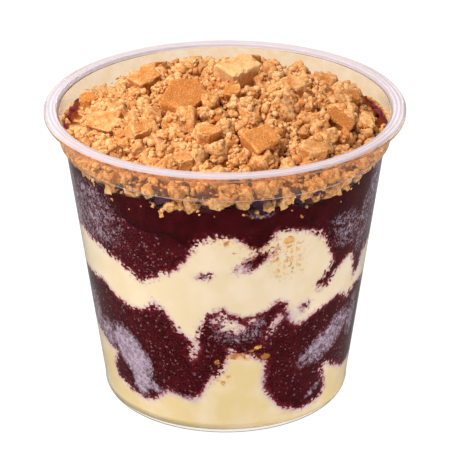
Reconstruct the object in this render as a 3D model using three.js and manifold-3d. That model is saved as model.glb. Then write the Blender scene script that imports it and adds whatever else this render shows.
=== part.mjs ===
// A clear plastic dessert cup filled with layers of acai and cream, under a heap of biscuit crumble.
// Millimetres, +Z up. The origin is the middle of the base, on the surface that the cup stands on.
// Sides are angles in degrees seen from above: 0 is the front (-Y), 90 is the right (+X), 180 the back.
import * as THREE from 'three';
import { mergeVertices } from 'three/addons/utils/BufferGeometryUtils.js';
import Module from 'manifold-3d';

const wasm = await Module();
wasm.setup();

// ---- Cup ----
const CUP_HEIGHT = 94.25;
const RIM_RADIUS = 55;
const RIM_SKIRT = 1.95;
const RIM_PLATE = 0.85;
const RIM_CORNER = 0.8;
const RIM_INNER_RADIUS = 51.3;
const WALL = 0.65;
const BASE_RADIUS = 38.1;
const BASE_CORNER = 4.2;
const BASE_RING_INNER = 31.5;
const BASE_RECESS = 0.8;
const FLOOR = 1.5;
const SHOULDER_Z = 82.4;
const SHOULDER_RADIUS = 48.7;
const SHOULDER_STEP = 1.7;
const SHOULDER_RISE = 2.1;
const NECK_TOP_RADIUS = 51.2;
const ROUND_STEPS = 48;
const CORNER_STEPS = 3;

// ---- Filling ----
const GAP = 0.3;
const HALF_GAP = GAP / 2;
const SURFACE_SHARES = [0.6, 1];
const OVERRUN = 1.08;
const MIDDLE_CALM = 1.6;

// Height of each boundary where it meets the wall, as [side, height] round the cup.
const CUP_FLOOR = { middle: 0, wall: [[-180, 0], [0, 0]] };
const LOWER_CREAM_TOP = {
  middle: 20,
  wall: [
    [-160, 9], [-145, 10], [-130, 19], [-112, 27], [-90, 28], [-68, 27], [-60, 16], [-50, 11], [-38, 9.5],
    [-28, 14], [-15, 13], [-8, 20], [1, 31], [11, 29.5], [16, 22], [23, 11], [36, 6.5], [46, 8],
    [50, 18], [66, 13.5], [80, 14], [105, 11], [120, 9], [140, 17], [156, 24], [178, 14],
  ],
};
const LOWER_ACAI_TOP = {
  middle: 42,
  wall: [
    [-165, 40], [-150, 46], [-130, 44], [-110, 38], [-88, 45], [-66, 46], [-50, 43], [-36, 42], [-27, 44.5],
    [-20, 37], [-13, 29.5], [-8, 42], [-2, 46], [8, 42.5], [23, 47], [31, 38.5], [40, 39], [52, 42.5],
    [60, 40], [74, 42], [92, 40], [112, 34], [130, 42], [150, 47], [166, 41], [180, 34],
  ],
};
const MIDDLE_CREAM_TOP = {
  middle: 63,
  wall: [
    [-165, 70], [-150, 64], [-135, 57], [-120, 60], [-104, 64], [-88, 58], [-62, 59.5], [-46, 57],
    [-34, 52.5], [-22, 58], [-9, 71], [3, 71], [11, 66], [16, 68.5], [20, 72.5], [32, 70], [38, 66],
    [42, 51], [50, 54], [58, 55.5], [64, 47], [74, 53], [90, 56], [105, 60], [120, 66], [135, 62],
    [150, 55], [170, 63],
  ],
};
const UPPER_ACAI_TOP = {
  middle: 82,
  wall: [
    [-165, 80], [-150, 83], [-135, 82], [-122, 85], [-112, 88], [-84, 88.2], [-70, 86.5], [-60, 83],
    [-46, 80], [-30, 81.5], [-22, 78.5], [-8, 79.5], [2, 81.4], [14, 78], [20, 81], [30, 78.4], [40, 79.5],
    [54, 80.3], [64, 83], [74, 86.5], [96, 88.2], [114, 88], [126, 85], [140, 82], [155, 84], [170, 81],
  ],
};

// ---- Crumble heap ----
const HEAP_TOP = 100.2;
const HEAP_EDGE = 85.3;
const HEAP_REACH = 49.5;
const HEAP_CURVE = 2.2;
const HEAP_SIDE_INSET = 1.7;
const DOME_SHARES = [1, 0.86, 0.6, 0.3];
const ACAI_SHOWS_TO = 45;
const ACAI_SHOWS = [{ side: -96, half: 12 }, { side: 106, half: 9 }];
const ACAI_SHOWS_BLEND = 8;
const WALL_CLEARANCE = 0.4;
const TOP_CRUMBS = 86;
const TOP_CRUMB_SIZES = [4.3, 2.1];
const EDGE_CRUMB_SIZE = 1.5;
const EDGE_BAND = 4.5;
const CRUMB_SINK = 0.32;
const SIDE_CRUMBS = 24;
const SIDE_CRUMB_SIZES = [1.9, 1.3];
const GOLDEN_ANGLE = 137.508;
const CRUMB_UNEVEN = 0.22;

// ---- Large biscuit chunks, each a rounded block with flat sides ----
// at: place on the heap; lift: middle above the heap; half: half width, depth and height;
// turn, tip and roll in degrees, tip leaning the top towards the front and roll towards the right.
const CHUNKS = [
  { at: [-12.5, -8.5], lift: 0.6, half: [7.4, 6.6, 2.3], sides: 5, turn: 20, tip: 24, roll: -6 },
  { at: [4.2, 6.5], lift: 1.4, half: [5.3, 4.6, 4.4], sides: 4, turn: 38, tip: 14, roll: 4 },
  { at: [-36.2, -10.5], lift: 0.6, half: [5.2, 3.6, 2.9], sides: 4, turn: -24, tip: 30, roll: -18 },
  { at: [-24, 7.8], lift: 1.4, half: [4.3, 3.8, 3.4], sides: 4, turn: 28, tip: 16, roll: -6 },
  { at: [-25.8, -21.6], lift: 0.6, half: [3.9, 3.0, 2.8], sides: 4, turn: 16, tip: 24, roll: 14 },
  { at: [-5.2, -29.3], lift: 0.6, half: [3.9, 3.1, 3.1], sides: 6, turn: 8, tip: 12, roll: 0 },
  { at: [10.5, -31.2], lift: 0.4, half: [5.3, 4.0, 4.4], sides: 4, turn: 34, tip: 26, roll: 10 },
  { at: [33.9, -12], lift: 0.6, half: [5.4, 2.8, 2.7], sides: 4, turn: -34, tip: 26, roll: 10 },
  { at: [42.6, -7], lift: 0.8, half: [2.5, 2.7, 2.5], sides: 6, turn: 20, tip: 16, roll: 20 },
  { at: [20.1, 1.7], lift: 0.7, half: [4.9, 4.0, 2.7], sides: 6, turn: 10, tip: 18, roll: 6 },
  { at: [2.3, -8.8], lift: 0.9, half: [2.9, 2.5, 2.9], sides: 6, turn: 15, tip: 20, roll: 0 },
  { at: [25.5, -31], lift: 0.7, half: [4.5, 3.2, 2.7], sides: 5, turn: 24, tip: 20, roll: 16 },
  { at: [-12.1, -38], lift: 0.7, half: [3.3, 2.4, 2.0], sides: 5, turn: 0, tip: 14, roll: 0 },
  { at: [-41.5, 10.5], lift: 1.5, half: [3.1, 3.2, 2.4], sides: 5, turn: 30, tip: 8, roll: -14 },
  { at: [38.5, 8.6], lift: 0.8, half: [3.2, 2.8, 2.4], sides: 4, turn: 18, tip: 12, roll: 14 },
  { at: [-11, 23], lift: 0.9, half: [3.5, 3.0, 2.6], sides: 5, turn: 40, tip: -10, roll: 0 },
  { at: [31, 22], lift: 0.8, half: [3.8, 3.3, 2.6], sides: 4, turn: -15, tip: -14, roll: 12 },
  { at: [-22, 32], lift: 0.8, half: [4.6, 3.7, 2.8], sides: 4, turn: 52, tip: -26, roll: -12 },
  { at: [8, 35], lift: 0.7, half: [4.4, 3.6, 3.0], sides: 5, turn: 12, tip: -24, roll: 4 },
];
const CHUNK_ROUNDING = 10;
const CHUNK_DETAIL = 1;
const LARGE_CHUNK = 5;
const LARGE_CHUNK_DETAIL = 2;
const FINEST_EDGE = 0.03;
const CORNER_UNEVEN = 0.16;

const ACAI_COLOUR = 0x451619;
const CREAM_COLOUR = 0xe6cfae;
const BOTTOM_CREAM_COLOUR = 0xe5ce9b;
const CRUMBLE_COLOUR = 0xd79253;
const CHUNK_COLOUR = 0xe0a064;
const CUP_COLOUR = 0xf3e9ee;

const radians = THREE.MathUtils.degToRad;
const smooth = (value) => THREE.MathUtils.smoothstep(value, 0, 1);

// A repeatable draw from 0 to 1 for a numbered piece.
function draw(index, salt) {
  const value = Math.sin(index * 12.9898 + salt * 78.233) * 43758.5453;
  return value - Math.floor(value);
}

function place(side, radius, z) {
  const angle = radians(side);
  return new THREE.Vector3(radius * Math.sin(angle), -radius * Math.cos(angle), z);
}

// The cup's inner radius at a height: rounded corner, straight draft, shoulder, neck.
function innerRadius(z) {
  const corner = BASE_CORNER - WALL;
  const cornerTop = FLOOR + corner;
  const foot = BASE_RADIUS - WALL;
  if (z < cornerTop) {
    const drop = Math.min(corner, cornerTop - z);
    return foot - corner + Math.sqrt(corner * corner - drop * drop);
  }
  const stepTop = SHOULDER_Z + SHOULDER_RISE;
  if (z < SHOULDER_Z) {
    const share = (z - cornerTop) / (SHOULDER_Z - cornerTop);
    return foot + share * (SHOULDER_RADIUS - BASE_RADIUS);
  }
  if (z < stepTop) {
    return SHOULDER_RADIUS - WALL + SHOULDER_STEP * smooth((z - SHOULDER_Z) / SHOULDER_RISE);
  }
  const share = (z - stepTop) / (CUP_HEIGHT - stepTop);
  const neckFoot = SHOULDER_RADIUS + SHOULDER_STEP;
  return neckFoot - WALL + share * (NECK_TOP_RADIUS - neckFoot);
}

function arc(centreX, centreZ, radius, from, to) {
  const points = [];
  for (let step = 0; step <= CORNER_STEPS; step += 1) {
    const angle = radians(from + (to - from) * step / CORNER_STEPS);
    points.push([centreX + radius * Math.cos(angle), centreZ + radius * Math.sin(angle)]);
  }
  return points;
}

// The cup's half section turned round its axis: outside from the base up, over the rim, down inside.
function cup() {
  const skirtFoot = CUP_HEIGHT - RIM_SKIRT;
  const plateFoot = CUP_HEIGHT - RIM_PLATE;
  const stepTop = SHOULDER_Z + SHOULDER_RISE;
  const innerCorner = BASE_CORNER - WALL;
  const shoulder = [0.5].map((share) => [
    SHOULDER_RADIUS + SHOULDER_STEP * smooth(share),
    SHOULDER_Z + SHOULDER_RISE * share,
  ]);
  const outside = [
    [0, BASE_RECESS],
    [BASE_RING_INNER - BASE_RECESS, BASE_RECESS],
    [BASE_RING_INNER, 0],
    ...arc(BASE_RADIUS - BASE_CORNER, BASE_CORNER, BASE_CORNER, -90, 0),
    [SHOULDER_RADIUS, SHOULDER_Z],
    ...shoulder,
    [SHOULDER_RADIUS + SHOULDER_STEP, stepTop],
    [NECK_TOP_RADIUS, plateFoot],
    [RIM_RADIUS - RIM_CORNER, plateFoot],
    [RIM_RADIUS - RIM_CORNER, skirtFoot],
    [RIM_RADIUS - 0.2, skirtFoot],
    [RIM_RADIUS, skirtFoot + 0.3],
  ];
  const rim = [
    ...arc(RIM_RADIUS - RIM_CORNER, CUP_HEIGHT - RIM_CORNER, RIM_CORNER, 0, 90),
    [RIM_INNER_RADIUS + 0.3, CUP_HEIGHT],
    [RIM_INNER_RADIUS, CUP_HEIGHT - 0.35],
    [innerRadius(CUP_HEIGHT - 0.9), CUP_HEIGHT - 0.9],
  ];
  const inside = [
    [innerRadius(stepTop), stepTop],
    ...shoulder.reverse().map(([radius, z]) => [radius - WALL, z]),
    [innerRadius(SHOULDER_Z), SHOULDER_Z],
    ...arc(BASE_RADIUS - BASE_CORNER, FLOOR + innerCorner, innerCorner, 0, -90),
    [0, FLOOR],
  ];
  const profile = [...outside, ...rim, ...inside].map(([radius, z]) => new THREE.Vector2(radius, z));
  const geometry = new THREE.LatheGeometry(profile, ROUND_STEPS);
  geometry.rotateX(Math.PI / 2);
  return geometry;
}

// Height on a ring of [side, height] points, eased from one point to the next.
function heightAt(points, side) {
  const turn = 360;
  const last = points[points.length - 1];
  const ring = [[last[0] - turn, last[1]], ...points, [points[0][0] + turn, points[0][1]]];
  const next = ring.findIndex((point) => point[0] > side);
  const [sideA, heightA] = ring[next - 1];
  const [sideB, heightB] = ring[next];
  const share = (side - sideA) / (sideB - sideA);
  return heightA + (heightB - heightA) * (share + smooth(share)) / 2;
}

// A boundary runs from its middle height to its wall height, and calms towards the middle.
function boundaryZ(boundary, side, share) {
  const wall = heightAt(boundary.wall, side);
  return boundary.middle + (wall - boundary.middle) * Math.min(share, 1) ** MIDDLE_CALM;
}

const everywhere = () => 1;

// The share of the inner radius that the crumble covers: all of it but for the bare acai at two sides.
function heapShare(side) {
  const bare = ACAI_SHOWS.map((spot) => {
    const away = Math.abs(((side - spot.side + 540) % 360) - 180);
    return 1 - smooth((away - spot.half) / ACAI_SHOWS_BLEND);
  });
  const full = innerRadius(HEAP_EDGE) - HEAP_SIDE_INSET;
  const radius = full - (full - ACAI_SHOWS_TO) * Math.max(...bare);
  return radius / innerRadius(HEAP_EDGE);
}

function heapZ(radius) {
  return HEAP_TOP - (HEAP_TOP - HEAP_EDGE) * (radius / HEAP_REACH) ** HEAP_CURVE;
}

function stepSides() {
  const sides = [];
  for (let step = 0; step < ROUND_STEPS; step += 1) {
    sides.push(-180 + 360 * step / ROUND_STEPS);
  }
  return sides;
}

// A closed body from rings stacked bottom to top, with a point on the axis at each end. Each face's
// diagonal runs the same way below the widest ring as above it, so that two bodies on one boundary match.
function stackedBody(bottomZ, rings, widest, topZ) {
  const steps = rings[0].length;
  const points = [new THREE.Vector3(0, 0, bottomZ), ...rings.flat(), new THREE.Vector3(0, 0, topZ)];
  const top = points.length - 1;
  const at = (ring, step) => 1 + ring * steps + (step % steps);
  const faces = [];
  for (let step = 0; step < steps; step += 1) {
    faces.push(0, at(0, step + 1), at(0, step));
    faces.push(top, at(rings.length - 1, step), at(rings.length - 1, step + 1));
    for (let ring = 0; ring + 1 < rings.length; ring += 1) {
      const [a, b] = [at(ring, step), at(ring, step + 1)];
      const [c, d] = [at(ring + 1, step), at(ring + 1, step + 1)];
      const pair = ring < widest ? [a, b, d, a, d, c] : [a, b, c, b, d, c];
      faces.push(...pair);
    }
  }
  const geometry = new THREE.BufferGeometry();
  geometry.setAttribute('position', new THREE.Float32BufferAttribute(points.flatMap((p) => p.toArray()), 3));
  geometry.setIndex(faces);
  return geometry;
}

// A boundary's rings from the middle out, shifted up or down by half the gap. Where it is covered only
// in part, one ring follows the cover's edge and one the wall. The last ring runs on past the wall.
function boundaryRings(boundary, shift, coverage = everywhere) {
  const covered = SURFACE_SHARES.map((share) => (side) => share * coverage(side));
  const bare = coverage === everywhere ? [] : [everywhere];
  const reaches = [...covered, ...bare, () => OVERRUN];
  return reaches.map((reachAt) => stepSides().map((side) => {
    const wall = innerRadius(heightAt(boundary.wall, side));
    return place(side, reachAt(side) * wall, boundaryZ(boundary, side, reachAt(side)) + shift);
  }));
}

// What the cup can hold: its inner surface drawn in by the gap, carried on above the rim.
function insideOfCup() {
  const floor = FLOOR + GAP;
  const cornerTop = FLOOR + BASE_CORNER - WALL;
  const corner = [0, 0.12, 0.4, 1].map((share) => floor + (cornerTop - floor) * share);
  const shoulder = [0, 0.5, 1].map((share) => SHOULDER_Z + SHOULDER_RISE * share);
  const heights = [...corner, ...shoulder, CUP_HEIGHT, 1.5 * CUP_HEIGHT];
  const side = heights.map((z) => [innerRadius(Math.min(z, CUP_HEIGHT)) - GAP, z]);
  const ends = [[0, floor], ...side, [0, heights.at(-1)]];
  const profile = ends.map(([radius, z]) => new THREE.Vector2(radius, z));
  const geometry = new THREE.LatheGeometry(profile, ROUND_STEPS);
  geometry.rotateX(Math.PI / 2);
  return toSolid(joined(geometry));
}

// A layer of filling between two boundaries, trimmed to the cup's inside.
function layer(below, above, coverage) {
  const bottom = boundaryRings(below, HALF_GAP);
  const top = boundaryRings(above, -HALF_GAP, coverage).reverse();
  const bottomZ = below.middle + HALF_GAP;
  const body = stackedBody(bottomZ, [...bottom, ...top], bottom.length - 1, above.middle - HALF_GAP);
  return toGeometry(toSolid(body).intersect(insideOfCup()).simplify(FINEST_EDGE));
}

// The heap without its crumbs: the acai's surface below, a dome above.
function heapCore() {
  const bottom = boundaryRings(UPPER_ACAI_TOP, HALF_GAP, heapShare).slice(0, SURFACE_SHARES.length);
  const dome = DOME_SHARES.map((share) => stepSides().map((side) => {
    const radius = share * heapShare(side) * innerRadius(HEAP_EDGE);
    return place(side, radius, heapZ(radius));
  }));
  return stackedBody(UPPER_ACAI_TOP.middle + HALF_GAP, [...bottom, ...dome], bottom.length - 1, HEAP_TOP);
}

// A lump with few sides, its corners drawn in or out unevenly.
function crumb(index, centre, size) {
  const geometry = new THREE.IcosahedronGeometry(1, 0);
  geometry.rotateZ(draw(index, 3) * Math.PI);
  geometry.rotateX(draw(index, 4) * Math.PI);
  const merged = joined(geometry);
  const corner = merged.getAttribute('position');
  const squash = 1 - CRUMB_UNEVEN * draw(index, 5);
  for (let step = 0; step < corner.count; step += 1) {
    const reach = size * (1 - CRUMB_UNEVEN * draw(index * 20 + step, 6));
    const point = new THREE.Vector3().fromBufferAttribute(corner, step).multiplyScalar(reach);
    corner.setXYZ(step, centre.x + point.x, centre.y + point.y, centre.z + point.z * squash);
  }
  return merged;
}

// Crumbs over the dome on a sunflower spiral, the largest spread evenly and the small ones by the wall.
function topCrumbs() {
  const crumbs = [];
  for (let index = 0; index < TOP_CRUMBS; index += 1) {
    const side = ((index * GOLDEN_ANGLE + 14 * draw(index, 1) + 180) % 360) - 180;
    const edge = heapShare(side) * innerRadius(HEAP_EDGE) + 0.5;
    const radius = edge * Math.sqrt((index + 0.5) / TOP_CRUMBS);
    const [largest, smallest] = TOP_CRUMB_SIZES;
    const drawn = smallest + (largest - smallest) * draw(index, 2) ** 1.5;
    const size = edge - radius < EDGE_BAND ? Math.min(drawn, EDGE_CRUMB_SIZE) : drawn;
    const reach = Math.min(radius, innerRadius(HEAP_EDGE) - WALL_CLEARANCE - size);
    const z = heapZ(reach) - CRUMB_SINK * size;
    crumbs.push(crumb(index, place(side, reach, z), size));
  }
  return crumbs;
}

// Crumbs at the wall between the acai and the dome, where the heap stands against the cup.
function sideCrumbs() {
  const crumbs = [];
  for (let index = 0; index < SIDE_CRUMBS; index += 1) {
    const number = TOP_CRUMBS + index;
    const side = -180 + 360 * (index + 0.6 * draw(number, 1)) / SIDE_CRUMBS;
    const [largest, smallest] = SIDE_CRUMB_SIZES;
    const size = smallest + (largest - smallest) * draw(number, 2);
    const floor = heightAt(UPPER_ACAI_TOP.wall, side) + HALF_GAP + size + 0.7;
    const ceiling = HEAP_EDGE - 0.3;
    if (floor < ceiling && heapShare(side) > 0.96) {
      const z = floor + (ceiling - floor) * draw(number, 7);
      crumbs.push(crumb(number, place(side, innerRadius(z - size) - WALL_CLEARANCE - size, z), size));
    }
  }
  return crumbs;
}

// The flat faces of a chunk: a top and a bottom, and uneven sides round it.
function chunkFaces(chunk, index) {
  const [width, depth, height] = chunk.half;
  const faces = [
    { normal: new THREE.Vector3(0, 0, 1), reach: height },
    { normal: new THREE.Vector3(0, 0, -1), reach: height },
  ];
  for (let side = 0; side < chunk.sides; side += 1) {
    const number = index * 10 + side;
    const angle = 2 * Math.PI * (side + 0.35 * (draw(number, 11) - 0.5)) / chunk.sides;
    const lean = 0.5 * (draw(number, 12) - 0.5);
    const normal = new THREE.Vector3(Math.cos(angle), Math.sin(angle), lean).normalize();
    const round = Math.hypot(width * Math.cos(angle), depth * Math.sin(angle));
    faces.push({ normal, reach: round * (1 - CORNER_UNEVEN * draw(number, 13)) });
  }
  return faces;
}

// A chunk's surface lies where the sum of (cosine / reach) over its faces, raised to a high power,
// is one: flat faces that meet in rounded edges. A margin moves every face out by as much.
function chunkShape(chunk, index, margin) {
  const detail = Math.max(...chunk.half) > LARGE_CHUNK ? LARGE_CHUNK_DETAIL : CHUNK_DETAIL;
  const geometry = new THREE.IcosahedronGeometry(1, detail);
  const merged = joined(geometry);
  const faces = chunkFaces(chunk, index);
  const corner = merged.getAttribute('position');
  for (let step = 0; step < corner.count; step += 1) {
    const way = new THREE.Vector3().fromBufferAttribute(corner, step).normalize();
    const sum = faces.reduce((total, face) => {
      const share = Math.max(0, way.dot(face.normal)) / (face.reach + margin);
      return total + share ** CHUNK_ROUNDING;
    }, 0);
    way.multiplyScalar(sum ** (-1 / CHUNK_ROUNDING));
    corner.setXYZ(step, way.x, way.y, way.z);
  }
  merged.rotateZ(radians(chunk.turn));
  merged.rotateX(radians(chunk.tip));
  merged.rotateY(radians(chunk.roll));
  const [x, y] = chunk.at;
  merged.translate(x, y, heapZ(Math.hypot(x, y)) + chunk.lift);
  return merged;
}

// The same shape with shared corners, which a solid needs.
function joined(geometry) {
  geometry.deleteAttribute('normal');
  geometry.deleteAttribute('uv');
  return mergeVertices(geometry);
}

function toSolid(geometry) {
  return new wasm.Manifold(new wasm.Mesh({
    numProp: 3,
    vertProperties: new Float32Array(geometry.getAttribute('position').array),
    triVerts: new Uint32Array(geometry.getIndex().array),
  }));
}

function toGeometry(solid) {
  const mesh = solid.getMesh();
  const geometry = new THREE.BufferGeometry();
  geometry.setAttribute('position', new THREE.Float32BufferAttribute(mesh.vertProperties, 3));
  geometry.setIndex(Array.from(mesh.triVerts));
  return geometry;
}

// The heap: core and crumbs as one solid, with a socket round each chunk and no loose scraps.
function crumble() {
  let heap = toSolid(heapCore());
  [...topCrumbs(), ...sideCrumbs()].forEach((piece) => {
    heap = heap.add(toSolid(piece));
  });
  CHUNKS.forEach((chunk, index) => {
    heap = heap.subtract(toSolid(chunkShape(chunk, index, GAP)));
  });
  const parts = heap.decompose();
  const largest = parts.reduce((best, part) => (part.volume() > best.volume() ? part : best));
  return toGeometry(largest.intersect(insideOfCup()).simplify(FINEST_EDGE));
}

function mesh(name, geometry, material) {
  const node = new THREE.Mesh(geometry, material);
  node.name = name;
  return node;
}

const clearPlastic = new THREE.MeshStandardMaterial({
  color: CUP_COLOUR, roughness: 0.15, metalness: 0, transparent: true, opacity: 0.35,
});
const acai = new THREE.MeshStandardMaterial({ color: ACAI_COLOUR, roughness: 0.6, metalness: 0 });
const cream = new THREE.MeshStandardMaterial({ color: CREAM_COLOUR, roughness: 0.5, metalness: 0 });
const bottomCream = new THREE.MeshStandardMaterial({
  color: BOTTOM_CREAM_COLOUR, roughness: 0.5, metalness: 0,
});
const crumbleCrumbs = new THREE.MeshStandardMaterial({
  color: CRUMBLE_COLOUR, roughness: 0.95, metalness: 0,
});
const biscuit = new THREE.MeshStandardMaterial({ color: CHUNK_COLOUR, roughness: 0.9, metalness: 0 });

const dessert = new THREE.Group();
dessert.name = 'layered_dessert_cup';
dessert.add(mesh('cup', cup(), clearPlastic));
dessert.add(mesh('cream_lower', layer(CUP_FLOOR, LOWER_CREAM_TOP), bottomCream));
dessert.add(mesh('acai_lower', layer(LOWER_CREAM_TOP, LOWER_ACAI_TOP), acai));
dessert.add(mesh('cream_middle', layer(LOWER_ACAI_TOP, MIDDLE_CREAM_TOP), cream));
dessert.add(mesh('acai_upper', layer(MIDDLE_CREAM_TOP, UPPER_ACAI_TOP, heapShare), acai));
dessert.add(mesh('crumble', crumble(), crumbleCrumbs));
CHUNKS.forEach((chunk, index) => {
  const name = `chunk_${String(index + 1).padStart(2, '0')}`;
  dessert.add(mesh(name, chunkShape(chunk, index, 0), biscuit));
});

export default dessert;
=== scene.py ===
"""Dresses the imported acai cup: clear plastic cup, pressed layers of acai and cream, biscuit crumble.

Lengths inside the shape functions are millimetres, and become metres when a mesh is made. The frame is the
CAD's: +Z up, the front is -Y. A side is an angle in degrees seen from above: 0 the front, 90 the right.
"""
import functools
import math

import bpy
import numpy as np
from mathutils import Matrix, Vector


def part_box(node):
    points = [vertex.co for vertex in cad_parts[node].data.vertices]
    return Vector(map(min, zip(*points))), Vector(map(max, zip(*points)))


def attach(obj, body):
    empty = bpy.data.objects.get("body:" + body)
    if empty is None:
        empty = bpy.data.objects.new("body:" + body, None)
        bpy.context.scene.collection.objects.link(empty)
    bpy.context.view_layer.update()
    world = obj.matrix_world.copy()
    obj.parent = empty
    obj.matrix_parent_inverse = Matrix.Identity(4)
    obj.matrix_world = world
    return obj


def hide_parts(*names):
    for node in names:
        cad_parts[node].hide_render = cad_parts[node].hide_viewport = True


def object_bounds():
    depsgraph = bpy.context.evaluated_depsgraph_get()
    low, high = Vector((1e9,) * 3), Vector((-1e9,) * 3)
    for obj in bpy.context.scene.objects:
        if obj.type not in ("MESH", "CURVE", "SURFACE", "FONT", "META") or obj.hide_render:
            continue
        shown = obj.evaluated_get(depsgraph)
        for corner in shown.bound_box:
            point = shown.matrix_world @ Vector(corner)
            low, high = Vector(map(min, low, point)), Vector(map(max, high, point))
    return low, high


bl_info = {
    "name": "Layered Acai Cup",
    "version": (1, 0, 0),
    "blender": (4, 5, 0),
    "location": "3D View > Sidebar > Acai Cup",
    "description": "Dresses a packed cup of acai, cream and biscuit crumble",
    "category": "Object",
}

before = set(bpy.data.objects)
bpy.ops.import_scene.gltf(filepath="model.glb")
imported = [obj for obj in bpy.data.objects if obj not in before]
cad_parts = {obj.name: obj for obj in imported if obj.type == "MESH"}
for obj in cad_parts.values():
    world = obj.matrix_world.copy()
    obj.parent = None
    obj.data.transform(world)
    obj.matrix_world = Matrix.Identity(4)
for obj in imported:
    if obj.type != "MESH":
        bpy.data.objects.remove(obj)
CAD_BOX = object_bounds()
CUP_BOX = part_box("cup")
MM = 0.001

# ---- How finely the surfaces are divided: steps round the axis, and rows ----
CUP_STEPS = 256
LAYER_STEPS = 560
CORE_STEPS = 640
CORE_DOME_ROWS = 108
CORE_FLANK_ROWS = 20

# ---- The cup's section, in mm, as in the CAD, with a crisper shoulder ----
CUP_HEIGHT = round(CUP_BOX[1].z / MM, 2)
RIM_RADIUS = round(CUP_BOX[1].x / MM, 2)
RIM_SKIRT = 1.95
RIM_PLATE = 0.85
RIM_CORNER = 0.8
RIM_INNER_RADIUS = 51.3
WALL = 0.65
BASE_RADIUS = 38.1
BASE_CORNER = 4.2
BASE_RING_INNER = 31.5
BASE_RECESS = 0.8
FLOOR = 1.5
SHOULDER_Z = 83.3
SHOULDER_RADIUS = 48.82
SHOULDER_STEP = 1.58
SHOULDER_RISE = 1.2
NECK_TOP_RADIUS = 51.2

# Distance between the rim's turned lines, chosen so that they show.
RIM_GROOVE = 1.25
# Polypropylene's index is 1.49. It is matched down to the photo, whose thin wall shows no dark inner lines.
PLASTIC_INDEX = 1.2
NECK_CLEARNESS = 0.965
RIM_CLEARNESS = 0.55
# The band on the shoulder's step is half milky: painted reflection of the light that the step catches.
LEDGE_CLEARNESS = 0.78

# ---- The filling's boundaries, the same as the CAD's: height in the middle, then (side, height) at the wall.
# Between them the height goes by this power of the share of the radius, which keeps the middle calm.
MIDDLE_CALM = 1.6
CUP_FLOOR = (0, [(-180, 0), (0, 0)])
LOWER_CREAM_TOP = (20, [
    (-160, 9), (-145, 10), (-130, 19), (-112, 27), (-90, 28), (-68, 27), (-60, 16), (-50, 11), (-38, 9.5),
    (-28, 14), (-15, 13), (-8, 20), (1, 31), (11, 29.5), (16, 22), (23, 11), (36, 6.5), (46, 8),
    (50, 18), (66, 13.5), (80, 14), (105, 11), (120, 9), (140, 17), (156, 24), (178, 14)])
LOWER_ACAI_TOP = (42, [
    (-165, 40), (-150, 46), (-130, 44), (-110, 38), (-88, 45), (-66, 46), (-50, 43), (-36, 42), (-27, 44.5),
    (-20, 37), (-13, 29.5), (-8, 42), (-2, 46), (8, 42.5), (23, 47), (31, 38.5), (40, 39), (52, 42.5),
    (60, 40), (74, 42), (92, 40), (112, 34), (130, 42), (150, 47), (166, 41), (180, 34)])
MIDDLE_CREAM_TOP = (63, [
    (-165, 70), (-150, 64), (-135, 57), (-120, 60), (-104, 64), (-88, 58), (-62, 59.5), (-46, 57),
    (-34, 52.5), (-22, 58), (-9, 71), (3, 71), (11, 66), (16, 68.5), (20, 72.5), (32, 70), (38, 66),
    (42, 51), (50, 54), (58, 55.5), (64, 47), (74, 53), (90, 56), (105, 60), (120, 66), (135, 62),
    (150, 55), (170, 63)])
UPPER_ACAI_TOP = (82, [
    (-165, 80), (-150, 83), (-135, 82), (-122, 85), (-112, 88), (-84, 88.2), (-70, 86.5), (-60, 83),
    (-46, 80), (-30, 81.5), (-22, 78.5), (-8, 79.5), (2, 81.4), (14, 78), (20, 81), (30, 78.4), (40, 79.5),
    (54, 80.3), (64, 83), (74, 86.5), (96, 88.2), (114, 88), (126, 85), (140, 82), (155, 84), (170, 81)])

# ---- The same boundaries drawn on the front of the wall, out to this side, with overhangs and notches ----
FRONT = 76
CREAM_EDGE_LOW = [
    (-55, 22), (-60, 16), (-58, 13), (-51, 11.3), (-46, 9.8), (-40, 9.4), (-34.5, 10.3), (-29.4, 13.1),
    (-27.3, 14.8), (-24, 14), (-20, 13.3), (-15, 12.9), (-11, 15.5), (-8.8, 18.8), (-6, 21.6), (-2.3, 23.9),
    (-0.7, 26.6), (1.8, 31.5), (6, 29.6), (9.5, 29.8), (13.7, 28.2), (17, 26.5), (17.2, 22.9), (16.4, 18.5),
    (19, 14.2), (22.8, 10.9), (28, 7.8), (34.4, 6.1), (41, 5.8), (47, 6.9), (51, 9.4), (50, 13.3),
    (46, 18.3), (51, 19), (57.5, 16.6), (67, 13.2)]
ACAI_EDGE_LOW = [
    (-66, 46), (-58, 46.5), (-50, 43), (-42, 41.5), (-36, 42), (-30, 44.5), (-27, 44.8), (-24, 42),
    (-20.5, 38.2), (-17.8, 36.2), (-13.8, 33.9), (-12.6, 28.4), (-11, 32.4), (-10.7, 39), (-8.4, 42.2),
    (-5, 45.5), (-1, 46.3), (2, 44), (5, 43.5), (8, 42.5), (12, 43.6), (17, 45), (21, 47.4), (24.5, 46.5),
    (25.5, 40.9), (29.2, 37.7), (33.3, 37.7), (38, 39.5), (44, 41), (52, 43), (60, 40), (67, 42.5)]
CREAM_EDGE_HIGH = [
    (-70, 61), (-62, 59.5), (-54, 58.5), (-46, 57), (-40, 54.5), (-34, 52.2), (-30, 54.5), (-26, 56.5),
    (-20, 58.5), (-15, 62.5), (-11, 68.5), (-6, 71.5), (3, 71), (7, 69.5), (11, 66), (14, 66.5), (16, 68.5),
    (20, 72.5), (26, 71.5), (32, 70.2), (38, 68), (40.2, 65.5), (44.1, 60.3), (46.3, 56.6), (43.9, 54.1),
    (38.5, 50.6), (40.2, 48.4), (45, 48.9), (47.4, 51.8), (50.8, 53.9), (55.6, 55.5), (58.5, 55.5),
    (61.3, 51), (62.2, 46.3), (66.9, 47.3), (68.7, 52)]
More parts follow.
